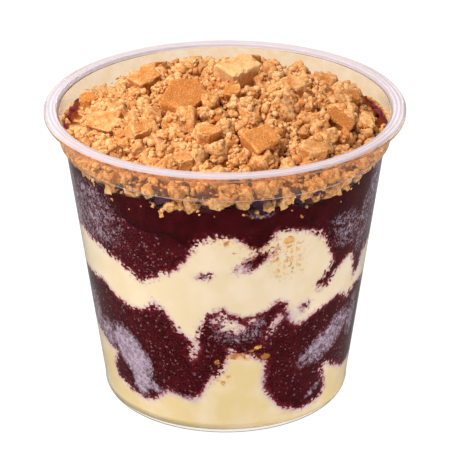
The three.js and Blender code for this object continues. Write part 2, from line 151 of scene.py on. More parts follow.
SLAB_EDGE = [
    (-80, 92), (-56, 82), (-47, 75.6), (-40, 73.2), (-32.5, 71), (-27, 70.6), (-22, 71.4), (-16.6, 69.6),
    (-11, 68), (-4, 66), (8, 60), (30, 60), (48, 66), (56, 76), (64, 84), (80, 92)]

# Patches on the wall: side, height, half width, half height in mm, and tilt in degrees.
ACAI_SPOTS = [(11.2, 62.6, 4.8, 1.9, 30), (-8.3, 57.5, 1.1, 0.6, 10), (33.2, 43.8, 1.2, 0.9, 30),
              (-168, 56, 4.4, 1.6, 22), (142, 51, 1.6, 0.8, -20), (-128, 51, 2.4, 1.0, 30),
              (99, 50, 1.4, 0.8, 0)]
CREAM_SPOTS = [(2.6, 40.2, 3.2, 2.1, -8), (21.0, 40.4, 3.0, 0.9, 58), (-14.6, 29.6, 0.6, 1.6, 0),
               (10.5, 42.0, 1.1, 0.8, 0), (-3.4, 42.6, 1.2, 0.9, 20), (-1.2, 44.0, 0.8, 0.7, 0),
               (-141, 36, 3.2, 1.5, 20), (168, 32, 2.6, 1.1, -30), (118, 25, 1.7, 0.8, 10),
               (-104, 34, 1.3, 0.8, 0), (150, 36, 0.8, 2.2, 10), (-120, 33, 2.0, 0.9, -15)]
# The same with how strongly the frozen milk shows: side, height, half width, half height, tilt, amount. The
# tall smears out near the sides of 60 to 80 degrees either way are painted sheen: the grazing reflection on
# the wall at the cup's left and right edges.
FROST_AND_SHEEN_SMEARS = [
    (-45.5, 24, 13, 7.6, -52, 1.75), (-41, 15.5, 5, 7, 0, 1.5), (-33.5, 14.3, 4.6, 2.1, -25, 0.9),
    (-62, 26, 7, 8, -20, 0.9), (-72, 30, 6, 12, 0, 0.75), (-41, 11.2, 3.4, 1.3, -15, 0.8),
    (47.5, 27.2, 14, 6.2, 22, 0.85), (56, 31.5, 8.4, 6, 20, 0.8), (68, 30, 4.5, 12, 0, 0.6),
    (4.5, 37.2, 10, 4.4, -2, 0.36), (-3.5, 41.6, 3.4, 3.2, 20, 0.6), (13, 40.8, 3.2, 2.8, 0, 0.5),
    (29, 42, 4.2, 4.4, -30, 0.8), (21, 40.4, 3.8, 1.6, 58, 0.7), (-8.3, 57.5, 2.6, 1.3, 5, 0.75),
    (6.6, 60.2, 3.8, 2.0, 25, 0.85), (-29.6, 46.4, 3.4, 1.6, -62, 0.75), (44, 11.5, 5.4, 1.8, 34, 0.5),
    (-16, 12.6, 6.0, 1.8, -15, 0.7), (16.3, 21, 1.8, 5, 0, 0.5), (-58, 70, 18, 14, 0, 0.4),
    (-77, 66, 9, 22, 0, 0.6), (12.5, 78.6, 5.4, 1.9, 0, 0.6), (66, 66, 7, 16, -12, 0.34),
    (52, 66, 12, 8, -30, 0.4), (71, 50, 2.4, 7, 10, 0.9), (-26, 13.6, 6, 1.6, 0, 0.6),
    (-28, 54, 5, 1.4, 30, 0.4), (74, 76, 9, 12, 0, 0.45), (80, 63, 15, 8, 30, 0.35),
    (-150, 26, 17, 4.2, 28, 1.2), (-131, 31, 11, 5, -35, 0.8), (163, 33, 13, 3.4, -24, 0.8),
    (131, 27, 17, 4.4, -30, 1.0), (111, 22, 11, 3.2, 18, 0.6), (-109, 33, 13, 3.2, -25, 0.8),
    (99, 30, 6, 9, 12, 0.5), (-174, 70, 15, 3.4, 10, 0.5), (-122, 72, 20, 6, 12, 0.45),
    (149, 63, 11, 3.4, 20, 0.7), (112, 73, 15, 5.5, -14, 0.45), (178, 25, 9, 2, 0, 0.7),
    (-96, 70, 9, 13, 0, 0.45), (-168, 56, 6, 2.6, 22, 0.8), (-141, 36, 5, 2.6, 20, 0.7),
    (168, 32, 5, 2, -30, 0.8)]
FROST_HOLES = [(-51, 17.2, 5.8, 2.4, -52, 1.0), (-34.7, 12.0, 3.3, 1.7, -8, 1.0), (66, 22, 3.4, 4.6, 30, 0.8)]
GRAIN_ZONES = [(-48, 62, 36, 18, -8, 1.0), (0, 30, 95, 28, 0, 0.8), (58, 60, 18, 14, 0, 0.6),
               (180, 32, 90, 26, 0, 0.8), (-132, 66, 40, 18, 8, 1.0), (124, 64, 36, 16, -8, 0.8)]
CRUMB_ZONES = [(18, 65.5, 14, 5.5, -4, 1.0), (24, 60, 8, 7, -30, 0.8), (-2, 69.5, 6, 3, 0, 0.45),
               (41, 49.6, 2.4, 1.6, 0, 0.9), (6, 29, 12, 1.9, 0, 1.0), (-3, 21, 4, 3.4, -40, 0.75),
               (12, 31.4, 4, 1.2, 15, 0.9), (-22, 64, 3, 2, 40, 0.3), (-160, 61, 13, 5, 8, 0.9),
               (173, 26.5, 11, 2, 0, 0.9), (144, 50, 7, 3, -20, 0.6), (-127, 17, 8, 2, 0, 0.7),
               (121, 60, 8, 3, 0, 0.7), (-110, 52, 6, 2, 20, 0.4), (-80, 81.5, 14, 3, 0, 0.9)]
BISCUIT_SPOTS = [(23.7, 68.4, 1.9, 1.5, 10), (0.5, 69.3, 0.9, 1.3, -30), (4.5, 29.4, 2.6, 1.1, 5),
                 (10.8, 31.0, 0.9, 0.6, 20), (13.2, 32.0, 1.2, 0.8, 25), (16.8, 28.4, 1.4, 1.1, 0),
                 (-3.8, 27.2, 1.1, 0.9, -20), (3.4, 65.8, 1.0, 0.5, 0), (19.5, 62.5, 0.7, 0.6, 0),
                 (23.5, 61.3, 0.9, 0.6, 30), (-1.5, 19.6, 1.1, 0.8, -20), (1.2, 22.0, 0.9, 0.7, 30),
                 (-158, 63, 1.9, 1.4, 20), (-163, 60.5, 0.9, 0.7, 0), (175, 27.5, 2.2, 1.0, -5),
                 (169, 28.6, 1.0, 0.7, 10), (146, 50.5, 1.1, 0.8, 0), (-127, 16.5, 1.0, 0.7, 0),
                 (122, 60.5, 1.3, 0.9, 15), (-80, 83, 15, 2.0, 0), (-150, 61.5, 0.8, 0.6, 0),
                 (180, 26.4, 0.8, 0.6, 20), (-112, 52.4, 0.9, 0.6, 0)]
# Where the slab of smoother acai ends, a dark line is painted as the shade of its fold: its width in mm, and
# the sides where it fades.
CREASE_WIDTH = 0.45
CREASE_FROM, CREASE_TO, CREASE_FADE = -52, -4, 8

# ---- The crumble heap, as in the CAD. Acai shows at the wall at two (side, half width) in degrees ----
HEAP_TOP = 100.2
HEAP_EDGE = 85.3
HEAP_REACH = 49.5
HEAP_CURVE = 2.2
HEAP_SIDE_INSET = 1.7
ACAI_SHOWS_TO = 45
ACAI_SHOWS = [(-97, 8), (104, 7)]
ACAI_SHOWS_BLEND = 7
WALL_CLEARANCE = 0.4
TOP_CRUMBS = 86
TOP_CRUMB_SIZES = (4.3, 2.1)
EDGE_CRUMB_SIZE = 1.5
EDGE_BAND = 4.5
CRUMB_SINK = 0.32
SIDE_CRUMBS = 24
SIDE_CRUMB_SIZES = (1.9, 1.3)
GOLDEN_ANGLE = 137.508
# The clods: how finely the ball is cut, their broken faces, the power that rounds them, their grain in mm.
CLOD_LEVEL = 4
CLOD_FACES = 8
CLOD_ROUNDING = 14
CLOD_GRAIN = 1.15
# The core under the loose crumbs lies this deep below the CAD's dome.
CORE_DEPTH = 0.9
# Crumbs against the wall, and the height that they and the clods there end at.
WALL_CRUMBS = 300
WALL_CRUMBS_TOP = 89
# Clods that hang against the wall below the heap's edge, and crumbs sunk in the acai: side, height, size.
HUNG_CLODS = [(20.8, 80.9, 1.8), (-20.2, 80.0, 2.2), (-22.8, 77.2, 2.1), (27.8, 76.3, 1.5), (-46, 81.2, 2.6),
              (-49, 84, 2.3), (16.0, 80.0, 1.1), (39.5, 80.8, 1.9), (34.5, 80.6, 2.0), (-12, 81.5, 2.4),
              (-35, 82, 2.1), (-3, 82, 2.5), (5.5, 83.5, 2.6), (-58, 84.5, 2.2), (-70, 84.5, 2.2),
              (-65, 83.0, 2.3), (-61, 81.8, 1.8), (-54, 81.0, 1.6), (62, 82.6, 2.0), (68, 84.2, 2.2),
              (56, 81.2, 1.8), (49, 80.4, 1.6)]
SUNK_CRUMBS = [(-17.4, 80.4, 0.9), (12.6, 77.6, 0.6), (46, 76.6, 0.5), (-36.5, 76.8, 0.5), (-26.5, 79.8, 0.9),
               (-44.5, 78.2, 0.8), (6.5, 78.9, 0.7), (-4, 78.6, 0.8), (-9, 78.8, 0.7), (30, 78.6, 0.6),
               (9.5, 77.8, 0.5), (51, 79.5, 0.7), (-31, 79, 0.6), (24, 78.6, 0.5)]

# ---- The large biscuit pieces: place, lift, half size, sides, turn, tip and roll, as in the CAD ----
CHUNKS = [
    ((-12.5, -8.5), 0.6, (7.4, 6.6, 2.3), 5, 20, 24, -6), ((4.2, 6.5), 1.4, (5.3, 4.6, 4.4), 4, 38, 14, 4),
    ((-36.2, -10.5), 0.6, (5.2, 3.6, 2.9), 4, -24, 30, -18),
    ((-24, 7.8), 1.4, (4.3, 3.8, 3.4), 4, 28, 16, -6),
    ((-25.8, -21.6), 0.6, (3.9, 3.0, 2.8), 4, 16, 24, 14), ((-5.2, -29.3), 0.6, (3.9, 3.1, 3.1), 6, 8, 12, 0),
    ((10.5, -31.2), 0.4, (5.3, 4.0, 4.4), 4, 34, 26, 10), ((33.9, -12), 0.6, (5.4, 2.8, 2.7), 4, -34, 26, 10),
    ((42.6, -7), 0.8, (2.5, 2.7, 2.5), 6, 20, 16, 20), ((20.1, 1.7), 0.7, (4.9, 4.0, 2.7), 6, 10, 18, 6),
    ((2.3, -8.8), 0.9, (2.9, 2.5, 2.9), 6, 15, 20, 0), ((25.5, -31), 0.7, (4.5, 3.2, 2.7), 5, 24, 20, 16),
    ((-12.1, -38), 0.7, (3.3, 2.4, 2.0), 5, 0, 14, 0), ((-41.5, 10.5), 1.5, (3.1, 3.2, 2.4), 5, 30, 8, -14),
    ((38.5, 8.6), 0.8, (3.2, 2.8, 2.4), 4, 18, 12, 14), ((-11, 23), 0.9, (3.5, 3.0, 2.6), 5, 40, -10, 0),
    ((31, 22), 0.8, (3.8, 3.3, 2.6), 4, -15, -14, 12), ((-22, 32), 0.8, (4.6, 3.7, 2.8), 4, 52, -26, -12),
    ((8, 35), 0.7, (4.4, 3.6, 3.0), 5, 12, -24, 4)]
# How much paler or darker each piece is, over and over.
CHUNK_TONES = (-0.5, 0.75, 0.3, 0.1, 0.25, 0.2, -0.1)
# The power that rounds the CAD's blocks, and the higher one of the crisper blocks made here.
CHUNK_ROUNDING = 10
CHUNK_CRISPNESS = 18
CORNER_UNEVEN = 0.16

# ---- The fitted camera: the point it looks at, in mm, and its roll in radians ----
VIEW_MIDDLE = Vector((-0.12, 0, 53.83))
VIEW_ROLL = -0.0041
# The floor's half width, how far it lies under the cup, and the size of its faint clouds.
FLOOR_HALF = 3000.0
FLOOR_GAP = 0.05
FLOOR_CLOUDS = 300.0

# ---- Colours that follow from the settings' colours and lie over small areas only ----
# The first colour is painted shade, in the fold where the slab of smoother acai ends.
CREASE_SHADE_COLOUR = "#1C0509"
SUNK_CRUMB_COLOURS = ("#AE6A34", "#EBB468")
BARE_ACAI_COLOURS = ("#2E0710", "#8A1F34")


def linear(code):
    """A colour's linear red, green and blue from its sRGB hex value."""
    values = [int(code[i:i + 2], 16) / 255 for i in (1, 3, 5)]
    return tuple(v / 12.92 if v <= 0.04045 else ((v + 0.055) / 1.055) ** 2.4 for v in values)


# ---------------------------------------------------------------------------------------------------
# Shape functions, on whole arrays, in millimetres
# ---------------------------------------------------------------------------------------------------

def smooth(value):
    """3v^2 - 2v^3 of a value held between 0 and 1."""
    held = np.clip(value, 0, 1)
    return held * held * (3 - 2 * held)


def draw(index, salt):
    """A repeatable number from 0 to 1 for each index: the fraction of a large sine."""
    value = np.sin(np.asarray(index) * 12.9898 + salt * 78.233) * 43758.5453
    return value - np.floor(value)


def place(side, radius, z):
    """Points at a side, a radius and a height: x = r sin(side), y = -r cos(side)."""
    angle = np.radians(side)
    return np.stack(np.broadcast_arrays(radius * np.sin(angle), -radius * np.cos(angle), z), -1)


def side_of(points):
    """The side of each point, in degrees from the front: the angle whose tangent is x over -y."""
    return np.degrees(np.arctan2(points[:, 0], -points[:, 1]))


def all_round(steps):
    """Even sides once round the axis, from the back."""
    return -180 + 360 * np.arange(steps) / steps


def inner_radius(z):
    """The cup's inner radius: a quarter circle, a straight draft, the eased shoulder, a straight neck."""
    z = np.asarray(z, float)
    corner = BASE_CORNER - WALL
    corner_top = FLOOR + corner
    foot = BASE_RADIUS - WALL
    drop = np.clip(corner_top - z, 0, corner)
    round_part = foot - corner + np.sqrt(corner * corner - drop * drop)
    draft = foot + (z - corner_top) / (SHOULDER_Z - corner_top) * (SHOULDER_RADIUS - BASE_RADIUS)
    shoulder = SHOULDER_RADIUS - WALL + SHOULDER_STEP * smooth((z - SHOULDER_Z) / SHOULDER_RISE)
    step_top = SHOULDER_Z + SHOULDER_RISE
    neck_foot = SHOULDER_RADIUS + SHOULDER_STEP
    neck = neck_foot - WALL + (z - step_top) / (CUP_HEIGHT - step_top) * (NECK_TOP_RADIUS - neck_foot)
    upper = np.where(z < step_top, shoulder, neck)
    return np.where(z < corner_top, round_part, np.where(z < SHOULDER_Z, draft, upper))


def height_at(points, side):
    """Height on a ring of (side, height) points, eased halfway between straight and smooth."""
    (first, first_z), (last, last_z) = points[0], points[-1]
    ring = np.array([(last - 360, last_z), *points, (first + 360, first_z)], float)
    after = np.clip(np.searchsorted(ring[:, 0], side, side="right"), 1, len(ring) - 1)
    (side_a, height_a), (side_b, height_b) = ring[after - 1].T, ring[after].T
    share = (side - side_a) / (side_b - side_a)
    return height_a + (height_b - height_a) * (share + smooth(share)) / 2


def heap_share(side):
    """Share of the inner radius that the crumble covers: drawn in at the two sides where acai shows."""
    rim = inner_radius(HEAP_EDGE)
    bare = [1 - smooth((np.abs((side - spot + 540) % 360 - 180) - half) / ACAI_SHOWS_BLEND)
            for spot, half in ACAI_SHOWS]
    full = rim - HEAP_SIDE_INSET
    return (full - (full - ACAI_SHOWS_TO) * np.max(bare, axis=0)) / rim


def dome_edge(side):
    """Radius at which the heap's dome ends, at each side."""
    return heap_share(side) * inner_radius(HEAP_EDGE)


def heap_z(radius):
    """Height of the heap's dome: its top less a power of the radius."""
    return HEAP_TOP - (HEAP_TOP - HEAP_EDGE) * (radius / HEAP_REACH) ** HEAP_CURVE


def hashed(cell, salt):
    """Three repeatable numbers from 0 to 1 for each whole-numbered cell."""
    mixed = cell @ np.array([127.1, 311.7, 74.7]) + salt * 19.19
    return np.stack([draw(mixed, 1.3), draw(mixed, 2.7), draw(mixed, 4.1)], -1)


def granules(points, pitch, salt, low=0.42, high=0.78):
    """Height of a skin of little balls: one ball sits at a drawn place in each cell of a cubic grid, and a
    point's height is the root of (ball radius squared less its distance squared), the largest of 27 cells."""
    cells = np.floor(points / pitch)
    best = np.zeros(len(points))
    for step in np.ndindex(3, 3, 3):
        cell = cells + np.array(step) - 1
        drawn = hashed(cell, salt)
        centre = (cell + 0.15 + 0.7 * drawn) * pitch
        radius = pitch * (low + (high - low) * hashed(cell, salt + 5)[:, 0])
        best = np.maximum(best, radius ** 2 - np.sum((points - centre) ** 2, 1))
    return np.sqrt(best)


def swell(points, pitch, salt):
    """Soft lumps from -1 to 1: values drawn on a cubic grid, eased between its corners."""
    scaled = points / pitch
    cell = np.floor(scaled)
    share = smooth(scaled - cell)
    total = np.zeros(len(points))
    for step in np.ndindex(2, 2, 2):
        corner = np.array(step)
        weight = np.prod(np.where(corner == 1, share, 1 - share), 1)
        total += weight * hashed(cell + corner, salt)[:, 0]
    return 2 * total - 1


def ellipse_depth(patch, side, z):
    """How deep in mm a point on the wall lies inside a tilted ellipse, below 0 outside it."""
    at_side, at_z, half_w, half_h, tilt = patch[:5]
    across = ((side - at_side + 540) % 360 - 180) * wall_scale(z)
    up = z - at_z
    c, s = math.cos(math.radians(tilt)), math.sin(math.radians(tilt))
    far = np.sqrt(((c * across + s * up) / half_w) ** 2 + ((c * up - s * across) / half_h) ** 2)
    return (1 - far) * min(half_w, half_h)


def wall_scale(z):
    """Millimetres along the wall for each degree of side, at a height."""
    return np.radians(1) * inner_radius(np.clip(z, 5, CUP_HEIGHT))


def whole_line(front, ring):
    """The boundary all the way round: the front as drawn, and the CAD's ring behind it."""
    left = [p for p in ring if p[0] < -FRONT]
    right = [p for p in ring if p[0] > FRONT]
    seam = height_at(ring, np.array([180.0]))[0]
    return [(-180, seam), *left, *front, *right, (180.01, seam)]


def height_over(line, side, z):
    """Signed distance in mm on the wall from a line of (side, height) points, above 0 over the line: the
    shortest way to any stretch of it, with the sign from how many stretches lie below the point."""
    below = np.zeros(len(side), int)
    nearest = np.full(len(side), 1e9)
    scale = wall_scale(z)
    for (side_a, z_a), (side_b, z_b) in zip(line, line[1:]):
        spans = (side_a <= side) != (side_b <= side)
        step = side_b - side_a if side_b != side_a else 1e-9
        crossing = z_a + (side - side_a) * (z_b - z_a) / step
        below += spans & (crossing < z)
        dx, dz = step * scale, z_b - z_a
        px, pz = (side - side_a) * scale, z - z_a
        share = np.clip((px * dx + pz * dz) / (dx * dx + dz * dz), 0, 1)
        nearest = np.minimum(nearest, np.hypot(px - share * dx, pz - share * dz))
    return np.where(below % 2 == 1, nearest, -nearest)


def strongest(zones, side, z, soft):
    """The largest amount of any zone at each point, fading in over its outer share."""
    return np.max([zone[5] * smooth(ellipse_depth(zone, side, z) / (soft * min(zone[2], zone[3])))
                   for zone in zones], axis=0)


def wall_looks(points):
    """What the filling shows at each of its points: depth into the acai, frozen milk with painted sheen at
    the cup's edges, grain, crumbs, biscuit, and the painted shade of the fold where the smoother slab ends.
    """
    side, z = side_of(points), points[:, 2]
    low = height_over(whole_line(CREAM_EDGE_LOW, LOWER_CREAM_TOP[1]), side, z)
    high = height_over(whole_line(ACAI_EDGE_LOW, LOWER_ACAI_TOP[1]), side, z)
    top = height_over(whole_line(CREAM_EDGE_HIGH, MIDDLE_CREAM_TOP[1]), side, z)
    slab = height_over(whole_line(SLAB_EDGE, [(-90, 92), (90, 92)]), side, z)
    depth = np.maximum(np.minimum(low, -high), top)
    for spot in ACAI_SPOTS:
        depth = np.maximum(depth, ellipse_depth(spot, side, z))
    for spot in CREAM_SPOTS:
        depth = np.minimum(depth, -ellipse_depth(spot, side, z))
    biscuit = np.max([ellipse_depth(spot, side, z) for spot in BISCUIT_SPOTS], axis=0)
    faded = smooth((side - CREASE_FROM) / CREASE_FADE) * smooth((CREASE_TO - side) / CREASE_FADE)
    return {
        "acai_depth": np.clip(depth, -6, 8),
        # frozen milk, and painted sheen at the cup's left and right edges
        "frost_and_sheen": strongest(FROST_AND_SHEEN_SMEARS, side, z, 0.65) * (1 - strongest(FROST_HOLES, side, z, 0.5)),
        "grain": strongest(GRAIN_ZONES, side, z, 0.5) * (1 - 0.85 * smooth(slab / 2 + 0.5)),
        "crumbs": strongest(CRUMB_ZONES, side, z, 0.6),
        "biscuit": np.clip(biscuit, -3, 3),
        # painted shade in the fold where the slab of smoother acai ends
        "crease_shade": np.exp(-(slab / CREASE_WIDTH) ** 2) * faded,
    }


# ---------------------------------------------------------------------------------------------------
# Making meshes
# ---------------------------------------------------------------------------------------------------

def make_piece(name, points, faces, material, looks=None, flat=False):
    """A mesh object from points in mm and arrays of faces, each array with its own number of corners."""
    if not len(points) or not np.isfinite(points).all():
        raise ValueError(f"{name} has no points, or points that are not numbers")
    mesh = bpy.data.meshes.new(name)
    mesh.vertices.add(len(points))
    mesh.vertices.foreach_set("co", (np.asarray(points, np.float64) * MM).astype(np.float32).ravel())
    corners = np.concatenate([f.ravel() for f in faces]).astype(np.int32)
    sizes = np.concatenate([np.full(len(f), f.shape[1]) for f in faces])
    mesh.loops.add(len(corners))
    mesh.loops.foreach_set("vertex_index", corners)
    mesh.polygons.add(len(sizes))
    mesh.polygons.foreach_set("loop_start", (np.cumsum(sizes) - sizes).astype(np.int32))
    mesh.polygons.foreach_set("use_smooth", np.full(len(sizes), not flat))
    mesh.update(calc_edges=True)
    for look, values in (looks or {}).items():
        mesh.attributes.new(look, "FLOAT", "POINT").data.foreach_set("value", np.asarray(values, np.float32))
    mesh.materials.append(material)
    piece = bpy.data.objects.new(name, mesh)
    bpy.context.scene.collection.objects.link(piece)
    return piece


def closed_turn(rings, first, last):
    """Points and faces of a surface turned round the axis: rings of points stacked along the profile, each
    joined to the next, and a single point closing either end. Faces look out when rings run bottom to top."""
    rows, steps = rings.shape[:2]
    points = np.concatenate([rings.reshape(-1, 3), [first], [last]])
    here = np.arange(rows * steps).reshape(rows, steps)
    turned = np.roll(here, -1, axis=1)
    quads = np.stack([here[:-1], turned[:-1], turned[1:], here[1:]], -1).reshape(-1, 4)
    start, end = rows * steps, rows * steps + 1
    cap_a = np.stack([np.full(steps, start), turned[0], here[0]], -1)
    cap_b = np.stack([np.full(steps, end), here[-1], turned[-1]], -1)
    return points, [quads, np.concatenate([cap_a, cap_b])]


def unit_ball(level, sides=20):
    """Corners and faces of a ball of even triangles. It starts from the corners of a block of 20 or 8 equal
    sides, and a face is three of them that are all nearest neighbours. Each level more cuts every face in
    four at the middles of its edges, pushed out to a radius of one."""
    golden = (1 + 5 ** 0.5) / 2
    corners = np.concatenate([np.eye(3), -np.eye(3)]) if sides == 8 else np.array(
        [np.roll((0.0, a, b * golden), turn) for turn in range(3) for a in (1, -1) for b in (1, -1)])
    apart = np.linalg.norm(corners[:, None] - corners, axis=2)
    near = np.isclose(apart, apart[apart > 0.1].min())
    faces = np.argwhere(near[:, :, None] & near[:, None] & near[None])
    first = (faces[:, 0] < faces[:, 1]) & (faces[:, 0] < faces[:, 2])
    faces = faces[first & (np.linalg.det(corners[faces]) > 0)]
    for _ in range(level - 1):
        edges = np.sort(np.concatenate([faces[:, [0, 1]], faces[:, [1, 2]], faces[:, [2, 0]]]), 1)
        once, where = np.unique(edges, axis=0, return_inverse=True)
        (a, b, c), (ab, bc, ca) = faces.T, len(corners) + where.reshape(3, -1)
        corners = np.concatenate([corners, corners[once].mean(1)])
        cuts = ((a, ab, ca), (b, bc, ab), (c, ca, bc), (ab, bc, ca))
        faces = np.concatenate([np.stack(cut, 1) for cut in cuts])
        corners /= np.linalg.norm(corners, axis=1, keepdims=True)
    return corners / np.linalg.norm(corners, axis=1, keepdims=True), faces


def turns(count, rng):
    """Random turns as matrices, from unit quaternions."""
    w, x, y, z = rng.normal(size=(count, 4)).T
    norm = np.sqrt(w * w + x * x + y * y + z * z)
    w, x, y, z = w / norm, x / norm, y / norm, z / norm
    rows = [[1 - 2 * (y * y + z * z), 2 * (x * y - w * z), 2 * (x * z + w * y)],
            [2 * (x * y + w * z), 1 - 2 * (x * x + z * z), 2 * (y * z - w * x)],
            [2 * (x * z - w * y), 2 * (y * z + w * x), 1 - 2 * (x * x + y * y)]]
    return np.moveaxis(np.array(rows), 2, 0)


def strewn(shaped, faces, centres, sizes, rng):
    """One mesh of many shapes, each turned at random about its middle, sized and moved to its place. Returns
    its points and faces, and the turned shapes."""
    count, corners = shaped.shape[:2]
    turned = np.einsum("nij,nvj->nvi", turns(count, rng), shaped)
    points = (centres[:, None] + turned * sizes[:, None, None]).reshape(-1, 3)
    joined = faces[None] + corners * np.arange(count)[:, None, None]
    return points, [joined.reshape(-1, 3)], turned


def lumps(ball, centres, sizes, uneven, rng):
    """Many small lumps as one mesh: a ball whose corners are drawn in or out at random, and stretched to
    between 0.7 and 1.15 along each of its own axes."""
    ball, faces = ball
    count, corners = len(centres), len(ball)
    reach = 1 + uneven * (rng.random((count, corners)) - 0.5)
    shaped = ball[None] * reach[..., None] * (0.7 + 0.45 * rng.random((count, 1, 3)))
    points, joined, _ = strewn(shaped, faces, centres, sizes, rng)
    return points, joined, {"tone": np.repeat(rng.random(count), corners)}


def clumps(centres, sizes, rng, relief):
    """Broken clods as one mesh. Each way out from a clod's middle ends where the power sum over its drawn
    faces of cosine over reach is one, which gives a rounded block; balls of baked crumb stand out of it."""
    ball, faces = unit_ball(CLOD_LEVEL)
    count, corners, sides, pitch = len(centres), len(ball), CLOD_FACES, CLOD_GRAIN
    drawn = rng.normal(size=(count, sides, 3))
    axes = np.concatenate([np.eye(3), -np.eye(3)])
    normals = np.concatenate([drawn / np.linalg.norm(drawn, axis=2, keepdims=True),
                              np.broadcast_to(axes, (count, 6, 3))], 1)
    reaches = np.concatenate([0.72 + 0.45 * rng.random((count, sides)),
                              0.85 + 0.3 * rng.random((count, 6))], 1)
    parts = np.maximum(0, np.einsum("vi,nki->nvk", ball, normals) / reaches[:, None])
    shaped = ball[None] * (np.sum(parts ** CLOD_ROUNDING, 2) ** (-1 / CLOD_ROUNDING))[..., None]
    points, joined, turned = strewn(shaped, faces, centres, sizes, rng)
    out = (turned / np.linalg.norm(turned, axis=2, keepdims=True)).reshape(-1, 3)
    bump = granules(points, pitch, 31) + 0.5 * granules(points, 0.6 * pitch, 32) - 0.85 * pitch
    points = points + out * (relief * bump + 0.3 * swell(points, 2.4, 34))[:, None]
    tone = 0.45 * np.repeat(rng.random(count), corners) + 0.55 * (0.5 + 0.5 * swell(points, 1.6, 33))
    # The gaps between the granules are painted darker: painted shade.
    return points, joined, {"tone": tone, "hollow_shade_and_stain": 0.3 * smooth((-0.3 * pitch - bump) / (0.5 * pitch))}


def dress(piece, slot, *nodes):
    """Rides the piece on the one body, and has it stand for its CAD nodes. The slot is not used."""
    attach(piece, "root")
    if nodes:
        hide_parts(*nodes)
    return piece


# ---------------------------------------------------------------------------------------------------
# Materials
# ---------------------------------------------------------------------------------------------------

TIMES = {"operation": "MULTIPLY"}
TIMES_PLUS = {"operation": "MULTIPLY_ADD"}
MINUS = {"operation": "SUBTRACT"}
EASED = {"interpolation_type": "SMOOTHSTEP"}
BLEND = {"data_type": "RGBA", "output": 2}
THIN_PLASTIC = {"Roughness": 0.03, "IOR": PLASTIC_INDEX, "Specular IOR Level": 0.3}

# Coarser than real grains and ice crystals are taken to be, so that they show in the render.
LARGE_GRAIN_MM = 0.85
SMALL_GRAIN_MM = 0.52


def add_node(tree, kind, inputs=(), output=0, **settings):
    """Adds one shader node with its settings and links, and gives back one of its outputs. The inputs come in
    the node's own order, or by number or name, and each is a value or the output that feeds it."""
    node = tree.nodes.new("ShaderNode" + kind)
    for name, value in settings.items():
        setattr(node, name, value)
    for key, value in (inputs if isinstance(inputs, dict) else dict(enumerate(inputs))).items():
        socket = node.inputs[key]
        if isinstance(value, bpy.types.NodeSocket):
            tree.links.new(value, socket)
        else:
            socket.default_value = (*value[:3], 1.0) if socket.type == "RGBA" else value
    return node.outputs[output] if node.outputs else None


def pattern(size_mm):
    """The scale of a pattern whose features are so many mm."""
    return 1 / (size_mm * MM)


def new_material(name):
    """An empty material, the function that adds its nodes, and its Object coordinates."""
    material = bpy.data.materials.new(name)
    material.use_nodes = True
    material.node_tree.nodes.clear()
    add = functools.partial(add_node, material.node_tree)
    return material, add, add("TexCoord", output="Object")


def finish_surface(add, look, height=None, bump_mm=0.0, strength=0.0):
    """Ends a material in its surface, raised by so many mm where a height is given."""
    if height is not None:
        raised = add("Bump", {"Strength": strength, "Distance": bump_mm * MM, "Height": height})
        look = {**look, "Normal": raised}
    add("OutputMaterial", (add("BsdfPrincipled", look),))


